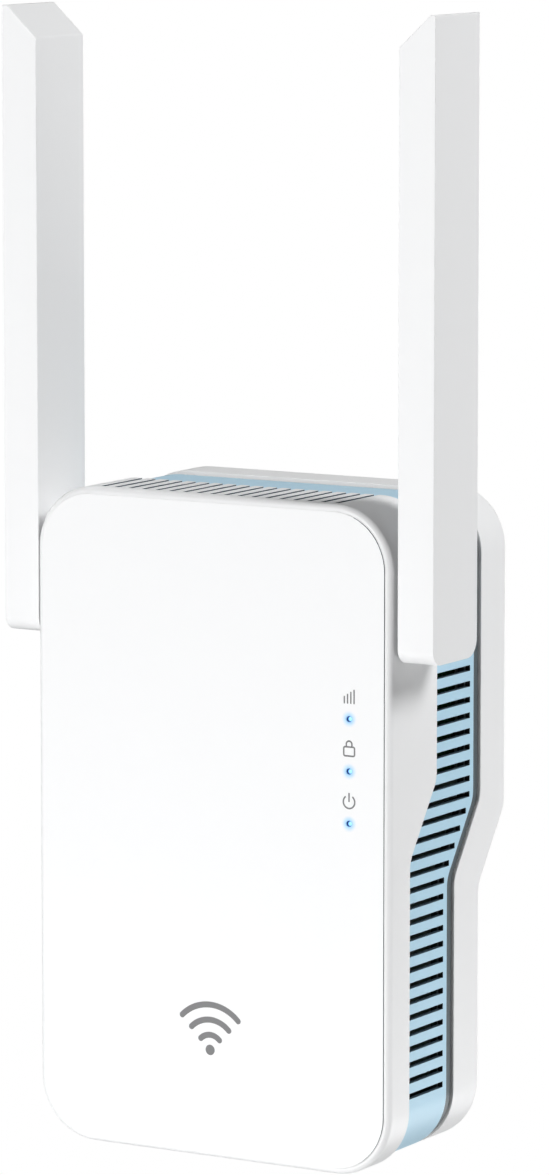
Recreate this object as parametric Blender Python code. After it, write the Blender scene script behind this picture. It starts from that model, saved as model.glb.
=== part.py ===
"""Plug-in wireless range extender with two folding blade antennas.

Metres, +Z up. The origin is the centre of the mains plug on the plane of the housing's back
face. +X is to the right seen from the front, +Y points into the wall, so the front face looks
along -Y. The housing is a sandwich: front cover, vent band, seam ring and rear shell, whose
joints all follow one stepped curve, because the upper part of the housing is deeper.
"""

import math

import bmesh
import bpy
from mathutils import Matrix, Vector

MM = 0.001

# ---- Housing ----------------------------------------------------------------------------------
BODY_WIDTH = 77.2 * MM
BODY_HEIGHT = 126.0 * MM
BODY_DEPTH = 46.2 * MM
PLUG_BELOW_TOP = 24.0 * MM
CORNER_RADIUS = 12.0 * MM
WALL = 2.0 * MM
FRONT_FILLET = 1.3 * MM
BACK_FILLET = 2.4 * MM
LAYER_INSET = 0.3 * MM
RING_INSET = 0.8 * MM
# How far each layer stops short of its plain outline, at the top and at the bottom.
BAND_TRIM = (0.55 * MM, 0.7 * MM)
RING_TRIM = (0.5 * MM, 0.5 * MM)
REAR_TRIM = (0.15 * MM, 0.7 * MM)
GAP = 0.3 * MM

TOP_Z = PLUG_BELOW_TOP
BOTTOM_Z = TOP_Z - BODY_HEIGHT
FRONT_Y = -BODY_DEPTH
SIDE_X = BODY_WIDTH / 2

# Each joint between layers: its depth behind the front face in the deep upper part, and the
# height above the bottom at which it turns forward.
COVER_SEAM = (17.9 * MM, 73.2 * MM)
BAND_SEAM = (32.5 * MM, 67.6 * MM)
RING_SEAM = (35.0 * MM, 67.2 * MM)
BACK_FACE = (BODY_DEPTH, 64.0 * MM)
STEP_FORWARD = 10.0 * MM
STEP_HEIGHT = 14.0 * MM
STEP_RADIUS = 5.0 * MM

# ---- Vents ------------------------------------------------------------------------------------
VENT_PITCH = 3.0 * MM
VENT_WIDTH = 1.1 * MM
SIDE_VENTS = 33
LOWEST_SIDE_VENT = 14.6 * MM
SIDE_VENT_MARGIN = 1.4 * MM
TOP_VENTS = 18
TOP_VENT_START = 2.9 * MM

# ---- Antennas ---------------------------------------------------------------------------------
BLADE_THICKNESS = 7.6 * MM
BLADE_DEPTH = 16.6 * MM
BLADE_LENGTH = 118.9 * MM
BLADE_BOTTOM = 97.1 * MM
BLADE_SETBACK = 1.6 * MM
BLADE_GAP = 0.6 * MM
BLADE_CUT_WIDTH = 6.5 * MM
BLADE_CUT_HEIGHT = 6.0 * MM
BLADE_WALL = 1.4 * MM
BLADE_FRONT_RADIUS = 3.0 * MM
BLADE_REAR_RADIUS = 3.5 * MM
BLADE_FILLET = 0.35 * MM
HINGE_ABOVE_END = BLADE_DEPTH / 2
BARREL_RADIUS = 4.0 * MM
BARREL_BORE = 1.5 * MM
BARREL_CLEARANCE = 0.15 * MM
BARREL_INNER_END = 33.2 * MM

HINGE_Y = FRONT_Y + BLADE_SETBACK + BLADE_DEPTH / 2
HINGE_Z = BOTTOM_Z + BLADE_BOTTOM + HINGE_ABOVE_END

# ---- Mains plug: two 4.8 mm round pins on a round base that fills a recessed outlet ------------
PLUG_RADIUS = 17.6 * MM
PLUG_LENGTH = 15.8 * MM
PLUG_FLANGE_RADIUS = 20.5 * MM
PLUG_WALL = 2.5 * MM
PIN_RADIUS = 2.4 * MM
PIN_LENGTH = 19.0 * MM
PIN_SPACING = 19.0 * MM
PIN_START = -4.6 * MM
PIN_BOSS_RADIUS = 4.2 * MM
PLUG_INNER_END = -4.1 * MM
SIDE_GROOVE = (15.9 * MM, 2.6 * MM)
TOP_GROOVE = (16.4 * MM, 3.2 * MM)
GROOVE_REACH = (0.4 * MM, 17.0 * MM)
GROOVE_OUTSIDE = 19.0 * MM

# ---- Fasteners and boards ---------------------------------------------------------------------
POST_RADIUS = 3.0 * MM
POST_X = 29.5 * MM
POST_HEIGHTS = (9.5 * MM, 116.5 * MM)
WELL_RADIUS = 3.1 * MM
WELL_DEPTH = 4.5 * MM
WELL_FLOOR = 1.5 * MM
BOSS_RADIUS = 4.3 * MM
SCREW_HOLE = 1.45 * MM
CASE_SCREW_LENGTH = 10.0 * MM
BOARD_SCREW_LENGTH = 5.0 * MM
POST_BORE = 1.35 * MM
POST_BORE_LENGTH = 10.0 * MM
STANDOFF_X = 30.5 * MM
STANDOFF_RADIUS = 2.4 * MM
STANDOFF_BORE = 0.95 * MM
STANDOFF_HEIGHTS = (20.0 * MM, 92.0 * MM)
BOARD_THICKNESS = 1.6 * MM
MAIN_BOARD_DEPTH = 6.6 * MM
POWER_BOARD_DEPTH = 36.5 * MM

# ---- Indicators, port and buttons -------------------------------------------------------------
LED_X = 29.95 * MM
LED_HEIGHTS = {"led_signal": 86.4 * MM, "led_pairing": 76.6 * MM, "led_power": 66.8 * MM}
LED_HOLE_RADIUS = 0.6 * MM
PORT_X = -10.0 * MM
PORT_DEPTH = 14.4 * MM
PORT_WIDTH = 11.9 * MM
PORT_HEIGHT = 8.3 * MM
JACK_HALF_WIDTH = 8.0 * MM
JACK_HALF_DEPTH = 5.9 * MM
JACK_HEIGHTS = (2.4 * MM, 23.4 * MM)
BUTTON_X = 12.0 * MM
RESET_X = 23.0 * MM
BUTTON_DEPTH = 13.2 * MM
BUTTON_SIZE = (8.0 * MM, 3.8 * MM)

ROUND = 40
SMALL_ROUND = 16
CORNER_STEPS = 8


# ---- Scene and materials ----------------------------------------------------------------------
def clear_scene():
    for item in list(bpy.data.objects):
        bpy.data.objects.remove(item, do_unlink=True)


def material(name, colour, roughness, metallic=0.0):
    found = bpy.data.materials.get(name)
    if found:
        return found
    made = bpy.data.materials.new(name)
    made.use_nodes = True
    shader = made.node_tree.nodes["Principled BSDF"]
    shader.inputs["Base Color"].default_value = (*colour, 1.0)
    shader.inputs["Roughness"].default_value = roughness
    shader.inputs["Metallic"].default_value = metallic
    made.diffuse_color = (*colour, 1.0)
    return made


def white_plastic():
    return material("white_plastic", (0.88, 0.88, 0.88), 0.38)


def blue_plastic():
    return material("blue_plastic", (0.48, 0.71, 0.86), 0.42)


def grey_plastic():
    return material("grey_plastic", (0.10, 0.11, 0.12), 0.5)


def black_plastic():
    return material("black_plastic", (0.03, 0.03, 0.035), 0.45)


def clear_plastic():
    return material("clear_plastic", (0.45, 0.70, 0.95), 0.15)


def circuit_green():
    return material("circuit_green", (0.03, 0.22, 0.10), 0.45)


def steel():
    return material("steel", (0.60, 0.60, 0.62), 0.3, 1.0)


def nickel():
    return material("nickel", (0.72, 0.70, 0.66), 0.22, 1.0)


def aluminium():
    return material("aluminium", (0.75, 0.76, 0.78), 0.35, 1.0)


# ---- Shapes -----------------------------------------------------------------------------------
def mesh_object(name, shape, finish, smooth_angle=40.0):
    """Make a shape into an object of the scene."""
    mesh = bpy.data.meshes.new(name)
    bmesh.ops.recalc_face_normals(shape, faces=shape.faces)
    shape.to_mesh(mesh)
    shape.free()
    mesh.shade_smooth()
    mesh.set_sharp_from_angle(angle=math.radians(smooth_angle))
    made = bpy.data.objects.new(name, mesh)
    bpy.context.scene.collection.objects.link(made)
    if finish:
        mesh.materials.append(finish)
    return made


def helper(name, shape):
    """A shape that only cuts, trims or adds to a piece."""
    made = mesh_object(name, shape, None)
    made.hide_render = True
    made.display_type = "WIRE"
    return made


def combine(piece, operation, name, shape):
    modifier = piece.modifiers.new(name, "BOOLEAN")
    modifier.operation = operation
    modifier.solver = "EXACT"
    modifier.object = helper(f"{piece.name}_{name}", shape)


def cut(piece, name, shape):
    combine(piece, "DIFFERENCE", name, shape)


def add(piece, name, shape):
    combine(piece, "UNION", name, shape)


def keep_inside(piece, name, shape):
    combine(piece, "INTERSECT", name, shape)


def move_origin(piece, point, parent=None):
    """Put a piece's origin at a point, or on its joint's axis under a parent there."""
    piece.data.transform(Matrix.Translation(-Vector(point)))
    if parent:
        piece.parent = parent
    else:
        piece.location = point


def swept(outline, sweep):
    """A flat outline of 3-D points extruded along a vector."""
    shape = bmesh.new()
    face = shape.faces.new([shape.verts.new(point) for point in outline])
    ends = bmesh.ops.extrude_face_region(shape, geom=[face])["geom"]
    far = [item for item in ends if isinstance(item, bmesh.types.BMVert)]
    bmesh.ops.translate(shape, verts=far, vec=sweep)
    bmesh.ops.recalc_face_normals(shape, faces=shape.faces)
    return shape


def block(low, high):
    shape = bmesh.new()
    size = Vector(high) - Vector(low)
    centre = (Vector(high) + Vector(low)) / 2
    bmesh.ops.create_cube(
        shape, size=1.0, matrix=Matrix.Translation(centre) @ Matrix.Diagonal((*size, 1.0))
    )
    return shape


def side_block(side, x_in, x_out, y_range, z_range):
    """A block on the right (side 1) or left (side -1), between two distances from the middle."""
    x_low, x_high = sorted((side * x_in, side * x_out))
    return block((x_low, y_range[0], z_range[0]), (x_high, y_range[1], z_range[1]))


def cylinder(start, end, radius, segments=SMALL_ROUND):
    """A cylinder between two points that lie along one axis."""
    start, end = Vector(start), Vector(end)
    shape = bmesh.new()
    turn = (end - start).to_track_quat("Z", "Y").to_matrix().to_4x4()
    bmesh.ops.create_cone(
        shape,
        cap_ends=True,
        segments=segments,
        radius1=radius,
        radius2=radius,
        depth=(end - start).length,
        matrix=Matrix.Translation((start + end) / 2) @ turn,
    )
    return shape


def turned(profile, start, direction, segments=SMALL_ROUND):
    """A profile of (distance, radius) turned about the line from a point in a direction."""
    shape = bmesh.new()
    ring = [shape.verts.new((radius, 0.0, along)) for along, radius in profile]
    edges = [shape.edges.new(pair) for pair in zip(ring, ring[1:])]
    if profile[0][1] > 0.0:
        edges.append(shape.edges.new((ring[-1], ring[0])))
    bmesh.ops.spin(
        shape,
        geom=ring + edges,
        cent=(0.0, 0.0, 0.0),
        axis=(0.0, 0.0, 1.0),
        dvec=(0.0, 0.0, 0.0),
        angle=math.tau,
        steps=segments,
        use_merge=True,
    )
    bmesh.ops.remove_doubles(shape, verts=shape.verts, dist=1e-7)
    turn = Vector(direction).to_track_quat("Z", "Y").to_matrix().to_4x4()
    bmesh.ops.transform(shape, verts=shape.verts, matrix=Matrix.Translation(start) @ turn)
    bmesh.ops.recalc_face_normals(shape, faces=shape.faces)
    return shape


def joined(shapes):
    """Several separate shapes as one helper shape."""
    whole = bmesh.new()
    for shape in shapes:
        mesh = bpy.data.meshes.new("joined")
        shape.to_mesh(mesh)
        shape.free()
        whole.from_mesh(mesh)
        bpy.data.meshes.remove(mesh)
    return whole


def filleted(points, radius, steps):
    """An open line of 2-D points with each inner corner rounded."""
    line = [points[0]]
    for before, corner, after in zip(points, points[1:], points[2:]):
        before, corner, after = Vector(before), Vector(corner), Vector(after)
        arrive = (corner - before).normalized()
        leave = (after - corner).normalized()
        bend = arrive.angle(leave)
        reach = radius * math.tan(bend / 2)
        side = 1.0 if arrive.cross(leave) > 0 else -1.0
        normal = Vector((-arrive.y, arrive.x)) * side
        centre = corner - arrive * reach + normal * radius
        for step in range(steps + 1):
            angle = side * bend * step / steps
            spoke = Matrix.Rotation(angle, 2) @ (-normal * radius)
            line.append(tuple(centre + spoke))
    line.append(points[-1])
    return line


def body_outline(inset, trim=(0.0, 0.0), steps=CORNER_STEPS):
    """The housing's rounded rectangle seen from the front, as (x, z) points."""
    radius = CORNER_RADIUS - inset
    reach_x = SIDE_X - CORNER_RADIUS
    top = TOP_Z - CORNER_RADIUS - trim[0]
    bottom = BOTTOM_Z + CORNER_RADIUS + trim[1]
    corners = ((reach_x, top, 0), (-reach_x, top, 90), (-reach_x, bottom, 180), (reach_x, bottom, 270))
    points = []
    for x, z, first in corners:
        for step in range(steps + 1):
            angle = math.radians(first + 90.0 * step / steps)
            points.append((x + radius * math.cos(angle), z + radius * math.sin(angle)))
    return points


def body_prism(inset, front, back, trim=(0.0, 0.0)):
    """The housing's outline, drawn in by inset and trim, between two depths behind the front face."""
    outline = [(x, FRONT_Y + front, z) for x, z in body_outline(inset, trim)]
    return swept(outline, (0.0, back - front, 0.0))


def seam_line(seam, shift=0.0):
    """A stepped joint seen from the side, as (y, z) points from above the top to below the bottom."""
    depth, bend = seam
    slope = math.atan2(STEP_FORWARD, STEP_HEIGHT)
    upper = BOTTOM_Z + bend - shift * math.tan(slope / 2)
    lower = upper - STEP_HEIGHT
    y_upper = FRONT_Y + depth + shift
    y_lower = y_upper - STEP_FORWARD
    corners = [(y_upper, TOP_Z + 0.05), (y_upper, upper), (y_lower, lower), (y_lower, BOTTOM_Z - 0.05)]
    return filleted(corners, STEP_RADIUS, 4)


def straight_line(depth):
    """An upright line at one depth, as long as the stepped joints' lines."""
    return [(FRONT_Y + depth, TOP_Z + 0.05), (FRONT_Y + depth, BOTTOM_Z - 0.05)]


def layer(front_line, back_line):
    """The space between two stepped lines, wide enough to trim any piece of the housing."""
    reach = SIDE_X + 0.02
    outline = [(-reach, y, z) for y, z in front_line + back_line[::-1]]
    return swept(outline, (2 * reach, 0.0, 0.0))


def seam_y(seam, z):
    """How far back a stepped joint lies at a height."""
    line = seam_line(seam)
    for (y_high, z_high), (y_low, z_low) in zip(line, line[1:]):
        if z_low <= z <= z_high and z_high > z_low:
            return y_low + (y_high - y_low) * (z - z_low) / (z_high - z_low)
    return line[-1][0]


# ---- Housing pieces ---------------------------------------------------------------------------
def make_front_cover():
    shape = body_prism(0.0, 0.0, 26 * MM)
    rim = [
        edge
        for edge in shape.edges
        if all(abs(vert.co.y - FRONT_Y) < 1e-6 for vert in edge.verts)
    ]
    bmesh.ops.bevel(
        shape, geom=rim, offset=FRONT_FILLET, segments=2, profile=0.5, affect="EDGES", material=-1
    )
    cover = mesh_object("front_cover", shape, white_plastic())
    keep_inside(cover, "seam", layer(straight_line(-10 * MM), seam_line(COVER_SEAM, -GAP / 2)))
    cut(cover, "hollow", body_prism(WALL, WALL, 40 * MM))
    posts = []
    for side in (-1, 1):
        for height in POST_HEIGHTS:
            end = post_end(height)
            posts.append(front_to_back(side * POST_X, height, WALL / 2, end, POST_RADIUS))
        for height in STANDOFF_HEIGHTS:
            end = MAIN_BOARD_DEPTH - GAP
            posts.append(front_to_back(side * STANDOFF_X, height, WALL / 2, end, STANDOFF_RADIUS))
    add(cover, "posts", joined(posts))
    holes = []
    for side in (-1, 1):
        for height in POST_HEIGHTS:
            end = post_end(height)
            start = end - POST_BORE_LENGTH
            holes.append(front_to_back(side * POST_X, height, start, end + MM, POST_BORE, 12))
        for height in STANDOFF_HEIGHTS:
            end = MAIN_BOARD_DEPTH + MM
            holes.append(front_to_back(side * STANDOFF_X, height, 3 * MM, end, STANDOFF_BORE, 12))
        reach = side * (SIDE_X + 5 * MM)
        axis_in = (side * (SIDE_X - 5 * MM), HINGE_Y, HINGE_Z)
        holes.append(
            cylinder(axis_in, (reach, HINGE_Y, HINGE_Z), BARREL_RADIUS + BARREL_CLEARANCE, ROUND)
        )
    for height in LED_HEIGHTS.values():
        holes.append(front_to_back(LED_X, height, -MM, 3 * MM, LED_HOLE_RADIUS, 16))
    cut(cover, "holes", joined(holes))
    cut(cover, "top_vents", joined([top_vent(number) for number in range(TOP_VENTS)]))
    return cover


def front_to_back(x, height, front, back, radius, segments=SMALL_ROUND):
    """A cylinder along Y at a height above the bottom, between two depths."""
    z = BOTTOM_Z + height
    return cylinder((x, FRONT_Y + front, z), (x, FRONT_Y + back, z), radius, segments)


def back_depth(height):
    """The depth of the back face at a height above the bottom."""
    return seam_y(BACK_FACE, BOTTOM_Z + height) - FRONT_Y


def post_end(height):
    """The depth at which a screw post stops, just short of the rear shell's boss."""
    return back_depth(height) - WELL_DEPTH - WELL_FLOOR - GAP


def top_vent(number):
    x = (number - (TOP_VENTS - 1) / 2) * VENT_PITCH
    front = FRONT_Y + TOP_VENT_START
    back = FRONT_Y + COVER_SEAM[0] + MM
    low = (x - VENT_WIDTH / 2, front, TOP_Z - WALL - MM)
    return block(low, (x + VENT_WIDTH / 2, back, TOP_Z + MM))


def make_vent_band():
    blank = body_prism(LAYER_INSET, 5 * MM, 40 * MM, BAND_TRIM)
    band = mesh_object("vent_band", blank, blue_plastic())
    keep_inside(
        band, "seams", layer(seam_line(COVER_SEAM, GAP / 2), seam_line(BAND_SEAM, -GAP / 2))
    )
    cut(band, "hollow", body_prism(WALL, 0.0, 50 * MM))
    vents = []
    for side in (-1, 1):
        for number in range(SIDE_VENTS):
            z = BOTTOM_Z + LOWEST_SIDE_VENT + number * VENT_PITCH
            y_front = seam_y(COVER_SEAM, z) - 4 * MM
            y_back = seam_y(BAND_SEAM, z) - SIDE_VENT_MARGIN
            z_range = (z - VENT_WIDTH / 2, z + VENT_WIDTH / 2)
            vents.append(
                side_block(side, SIDE_X - WALL - MM, SIDE_X + MM, (y_front, y_back), z_range)
            )
    cut(band, "side_vents", joined(vents))
    half = PORT_WIDTH / 2 + 0.5 * MM
    y_port = FRONT_Y + PORT_DEPTH
    reach = PORT_HEIGHT / 2 + 0.5 * MM
    low, high = BOTTOM_Z - MM, BOTTOM_Z + WALL + MM
    openings = [block((PORT_X - half, y_port - reach, low), (PORT_X + half, y_port + reach, high))]
    openings.append(swept(button_outline(0.2 * MM, low), (0.0, 0.0, high - low)))
    y_button = FRONT_Y + BUTTON_DEPTH
    openings.append(cylinder((RESET_X, y_button, low), (RESET_X, y_button, high), 0.9 * MM, 16))
    cut(band, "bottom_openings", joined(openings))
    return band


def make_seam_ring():
    blank = body_prism(RING_INSET, 10 * MM, 45 * MM, RING_TRIM)
    ring = mesh_object("seam_ring", blank, grey_plastic())
    keep_inside(
        ring, "seams", layer(seam_line(BAND_SEAM, GAP / 2), seam_line(RING_SEAM, -GAP / 2))
    )
    flange = helper("seam_ring_flange_blank", body_prism(WALL + GAP, 10 * MM, 48 * MM))
    reach = 1.2 * MM
    trim = layer(seam_line(BAND_SEAM, -reach), seam_line(RING_SEAM, reach))
    keep_inside(flange, "trim", trim)
    union = ring.modifiers.new("flange", "BOOLEAN")
    union.operation = "UNION"
    union.solver = "EXACT"
    union.object = flange
    cut(ring, "hollow", body_prism(WALL + GAP + 1.1 * MM, 0.0, 60 * MM))
    return ring


def make_rear_shell():
    blank = body_prism(LAYER_INSET, 0.0, 60 * MM, REAR_TRIM)
    shell = mesh_object("rear_shell", blank, white_plastic())
    keep_inside(shell, "back_face", layer(straight_line(5 * MM), seam_line(BACK_FACE)))
    bevel = shell.modifiers.new("back_fillet", "BEVEL")
    bevel.limit_method = "ANGLE"
    bevel.angle_limit = math.radians(45)
    bevel.width = BACK_FILLET
    bevel.segments = 3
    keep_inside(shell, "seam", layer(seam_line(RING_SEAM, GAP / 2), straight_line(60 * MM)))
    inside = helper("rear_shell_inside", body_prism(WALL, 0.0, 60 * MM))
    keep_inside(inside, "depth", layer(seam_line(RING_SEAM, -10 * MM), seam_line(BACK_FACE, -WALL)))
    hollow = shell.modifiers.new("hollow", "BOOLEAN")
    hollow.solver = "EXACT"
    hollow.object = inside
    bosses = []
    wells = []
    for side in (-1, 1):
        for height in POST_HEIGHTS:
            back = back_depth(height)
            x = side * POST_X
            floor = back - WELL_DEPTH
            bosses.append(front_to_back(x, height, floor - WELL_FLOOR, back - MM, BOSS_RADIUS))
            wells.append(stepped_well(x, height, floor))
    add(shell, "bosses", joined(bosses))
    cut(shell, "screw_wells", joined(wells))
    plug_hole = cylinder((0, -10 * MM, 0), (0, 10 * MM, 0), PLUG_RADIUS + GAP, ROUND)
    cut(shell, "plug_hole", plug_hole)
    return shell


def stepped_well(x, height, floor):
    """A screw's well from the back face to its floor, and the narrow hole on through the floor."""
    through = -2 * WELL_FLOOR
    mouth = WELL_DEPTH + MM
    profile = [(through, 0.0), (through, SCREW_HOLE), (0.0, SCREW_HOLE)]
    profile += [(0.0, WELL_RADIUS), (mouth, WELL_RADIUS), (mouth, 0.0)]
    return turned(profile, (x, FRONT_Y + floor, BOTTOM_Z + height), (0, 1, 0))


# ---- Mains plug -------------------------------------------------------------------------------
def make_plug():
    inner_end = PLUG_INNER_END
    flange_front = -WALL - GAP
    profile = [
        (inner_end, 0.0),
        (inner_end, PLUG_FLANGE_RADIUS),
        (flange_front, PLUG_FLANGE_RADIUS),
        (flange_front, PLUG_RADIUS),
        (PLUG_LENGTH - MM, PLUG_RADIUS),
        (PLUG_LENGTH, PLUG_RADIUS - MM),
        (PLUG_LENGTH, 0.0),
    ]
    base = mesh_object(
        "plug_base", turned(profile, (0, 0, 0), (0, 1, 0), ROUND), white_plastic()
    )
    grooves = []
    for side in (-1, 1):
        floor, half = SIDE_GROOVE
        grooves.append(side_block(side, floor, GROOVE_OUTSIDE, GROOVE_REACH, (-half, half)))
        floor, half = TOP_GROOVE
        z_low, z_high = sorted((side * floor, side * GROOVE_OUTSIDE))
        grooves.append(block((-half, GROOVE_REACH[0], z_low), (half, GROOVE_REACH[1], z_high)))
    cut(base, "guide_grooves", joined(grooves))
    hollow = turned(
        [
            (inner_end - MM, 0.0),
            (inner_end - MM, PLUG_RADIUS - PLUG_WALL),
            (PLUG_LENGTH - PLUG_WALL, PLUG_RADIUS - PLUG_WALL),
            (PLUG_LENGTH - PLUG_WALL, 0.0),
        ],
        (0, 0, 0),
        (0, 1, 0),
        ROUND - 4,
    )
    cut(base, "hollow", hollow)
    pin_places = (-PIN_SPACING / 2, PIN_SPACING / 2)
    boss_end = PLUG_LENGTH - MM
    bosses = [cylinder((x, 4 * MM, 0), (x, boss_end, 0), PIN_BOSS_RADIUS) for x in pin_places]
    add(base, "pin_bosses", joined(bosses))
    holes = [cylinder((x, -0.01, 0), (x, 0.02, 0), PIN_RADIUS + 0.15 * MM) for x in pin_places]
    cut(base, "pin_holes", joined(holes))
    tip = PLUG_LENGTH + PIN_LENGTH
    for name, x in zip(("pin_live", "pin_neutral"), pin_places):
        profile = [
            (PIN_START, 0.0),
            (PIN_START, PIN_RADIUS - 0.4 * MM),
            (PIN_START + 0.6 * MM, PIN_RADIUS),
            (tip - 2.0 * MM, PIN_RADIUS),
            (tip - 0.9 * MM, PIN_RADIUS - 0.5 * MM),
            (tip - 0.2 * MM, PIN_RADIUS - 1.3 * MM),
            (tip, 0.0),
        ]
        mesh_object(name, turned(profile, (x, 0, 0), (0, 1, 0)), nickel())
    for name, x in zip(("contact_live", "contact_neutral"), pin_places):
        board_back = FRONT_Y + POWER_BOARD_DEPTH + BOARD_THICKNESS
        near = board_back + GAP
        far = -4.9 * MM
        reach = 6.0 * MM
        outline = [(near, 0), (near, reach), (near + 0.6 * MM, reach), (near + 0.6 * MM, 0.6 * MM)]
        outline += [(far - 0.6 * MM, 0.6 * MM), (far - 0.6 * MM, 5 * MM), (far, 5 * MM), (far, 0)]
        points = [(x - 1.8 * MM, y, z - 2.5 * MM) for y, z in outline]
        mesh_object(name, swept(points, (3.6 * MM, 0, 0)), nickel())


# ---- Fasteners --------------------------------------------------------------------------------
def screw(name, x, height, seat, length, head_radius, head_height, shank_radius):
    """A cross-head screw driven in from the back, with its head's underside at a depth."""
    start = (x, FRONT_Y + seat, BOTTOM_Z + height)
    profile = [
        (-length, 0.0),
        (-length, shank_radius * 0.5),
        (-length + shank_radius, shank_radius),
        (0.0, shank_radius),
        (0.0, head_radius),
        (head_height * 0.6, head_radius),
        (head_height, head_radius * 0.7),
        (head_height, 0.0),
    ]
    made = mesh_object(name, turned(profile, start, (0, 1, 0), 12), steel())
    arm = head_radius * 0.6
    slot = head_radius * 0.14
    floor = start[1] + head_height * 0.45
    above = start[1] + head_height + MM
    z = start[2]
    cut(made, "slot_across", block((x - arm, floor, z - slot), (x + arm, above, z + slot)))
    cut(made, "slot_up", block((x - slot, floor, z - arm), (x + slot, above, z + arm)))


def make_screws():
    number = 1
    for height in POST_HEIGHTS:
        for side in (-1, 1):
            seat = back_depth(height) - WELL_DEPTH + GAP
            screw(
                f"case_screw_{number}",
                side * POST_X,
                height,
                seat,
                CASE_SCREW_LENGTH,
                2.6 * MM,
                1.8 * MM,
                1.15 * MM,
            )
            number += 1
    number = 1
    for height in STANDOFF_HEIGHTS:
        for side in (-1, 1):
            seat = MAIN_BOARD_DEPTH + BOARD_THICKNESS + GAP
            screw(
                f"board_screw_{number}",
                side * STANDOFF_X,
                height,
                seat,
                BOARD_SCREW_LENGTH,
                1.9 * MM,
                1.2 * MM,
                0.75 * MM,
            )
            number += 1


# ---- Boards and what is on them ---------------------------------------------------------------
def depth_block(x_range, depth_range, height_range):
    """A block given by depths behind the front face and heights above the bottom."""
    low = (x_range[0], FRONT_Y + depth_range[0], BOTTOM_Z + height_range[0])
    high = (x_range[1], FRONT_Y + depth_range[1], BOTTOM_Z + height_range[1])
    return block(low, high)


def make_main_board():
    board_front = MAIN_BOARD_DEPTH
    board_back = MAIN_BOARD_DEPTH + BOARD_THICKNESS
    shape = depth_block((-33 * MM, 33 * MM), (board_front, board_back), (4.2 * MM, 96.5 * MM))
    board = mesh_object("main_board", shape, circuit_green())
    cuts = [
        side_notch(side, 25.6 * MM, (board_front - MM, board_back + MM), (3 * MM, 13.6 * MM))
        for side in (-1, 1)
    ]
    for side in (-1, 1):
        for height in STANDOFF_HEIGHTS:
            cuts.append(
                front_to_back(side * STANDOFF_X, height, board_front - MM, board_back + MM, 1.2 * MM, 12)
            )
    cut(board, "notches_and_holes", joined(cuts))

    on_back = board_back + GAP
    cans = (("shield_can_upper", (-26, 4), (60, 88)), ("shield_can_lower", (-24, 8), (36, 56)))
    for name, xs, heights in cans:
        x_range = tuple(x * MM for x in xs)
        height_range = tuple(height * MM for height in heights)
        shape = depth_block(x_range, (on_back, on_back + 3 * MM), height_range)
        can = mesh_object(name, shape, steel())
        inside = depth_block(
            (x_range[0] + 0.3 * MM, x_range[1] - 0.3 * MM),
            (on_back - MM, on_back + 2.7 * MM),
            (height_range[0] + 0.3 * MM, height_range[1] - 0.3 * MM),
        )
        cut(can, "inside", inside)
    pad_front = on_back + 3 * MM + GAP
    pad = depth_block((-20 * MM, -2 * MM), (pad_front, pad_front + MM), (64 * MM, 84 * MM))
    mesh_object("thermal_pad", pad, material("thermal_pad_grey", (0.45, 0.5, 0.55), 0.9))
    sink_front = pad_front + MM + GAP
    sink = mesh_object(
        "heat_sink",
        depth_block((-28 * MM, 8 * MM), (sink_front, sink_front + 5 * MM), (58 * MM, 90 * MM)),
        aluminium(),
    )
    channels = [
        depth_block(
            (-29 * MM, 9 * MM),
            (sink_front + 1.5 * MM, sink_front + 6 * MM),
            ((60 + 4 * step) * MM, (62 + 4 * step) * MM),
        )
        for step in range(7)
    ]
    cut(sink, "fins", joined(channels))
    magnetics = depth_block((-17 * MM, -3 * MM), (on_back, on_back + 5 * MM), (25 * MM, 33 * MM))
    mesh_object("lan_magnetics", magnetics, black_plastic())


def side_notch(side, x_in, depth_range, height_range):
    x_low, x_high = sorted((side * x_in, side * 40 * MM))
    return depth_block((x_low, x_high), depth_range, height_range)


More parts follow.
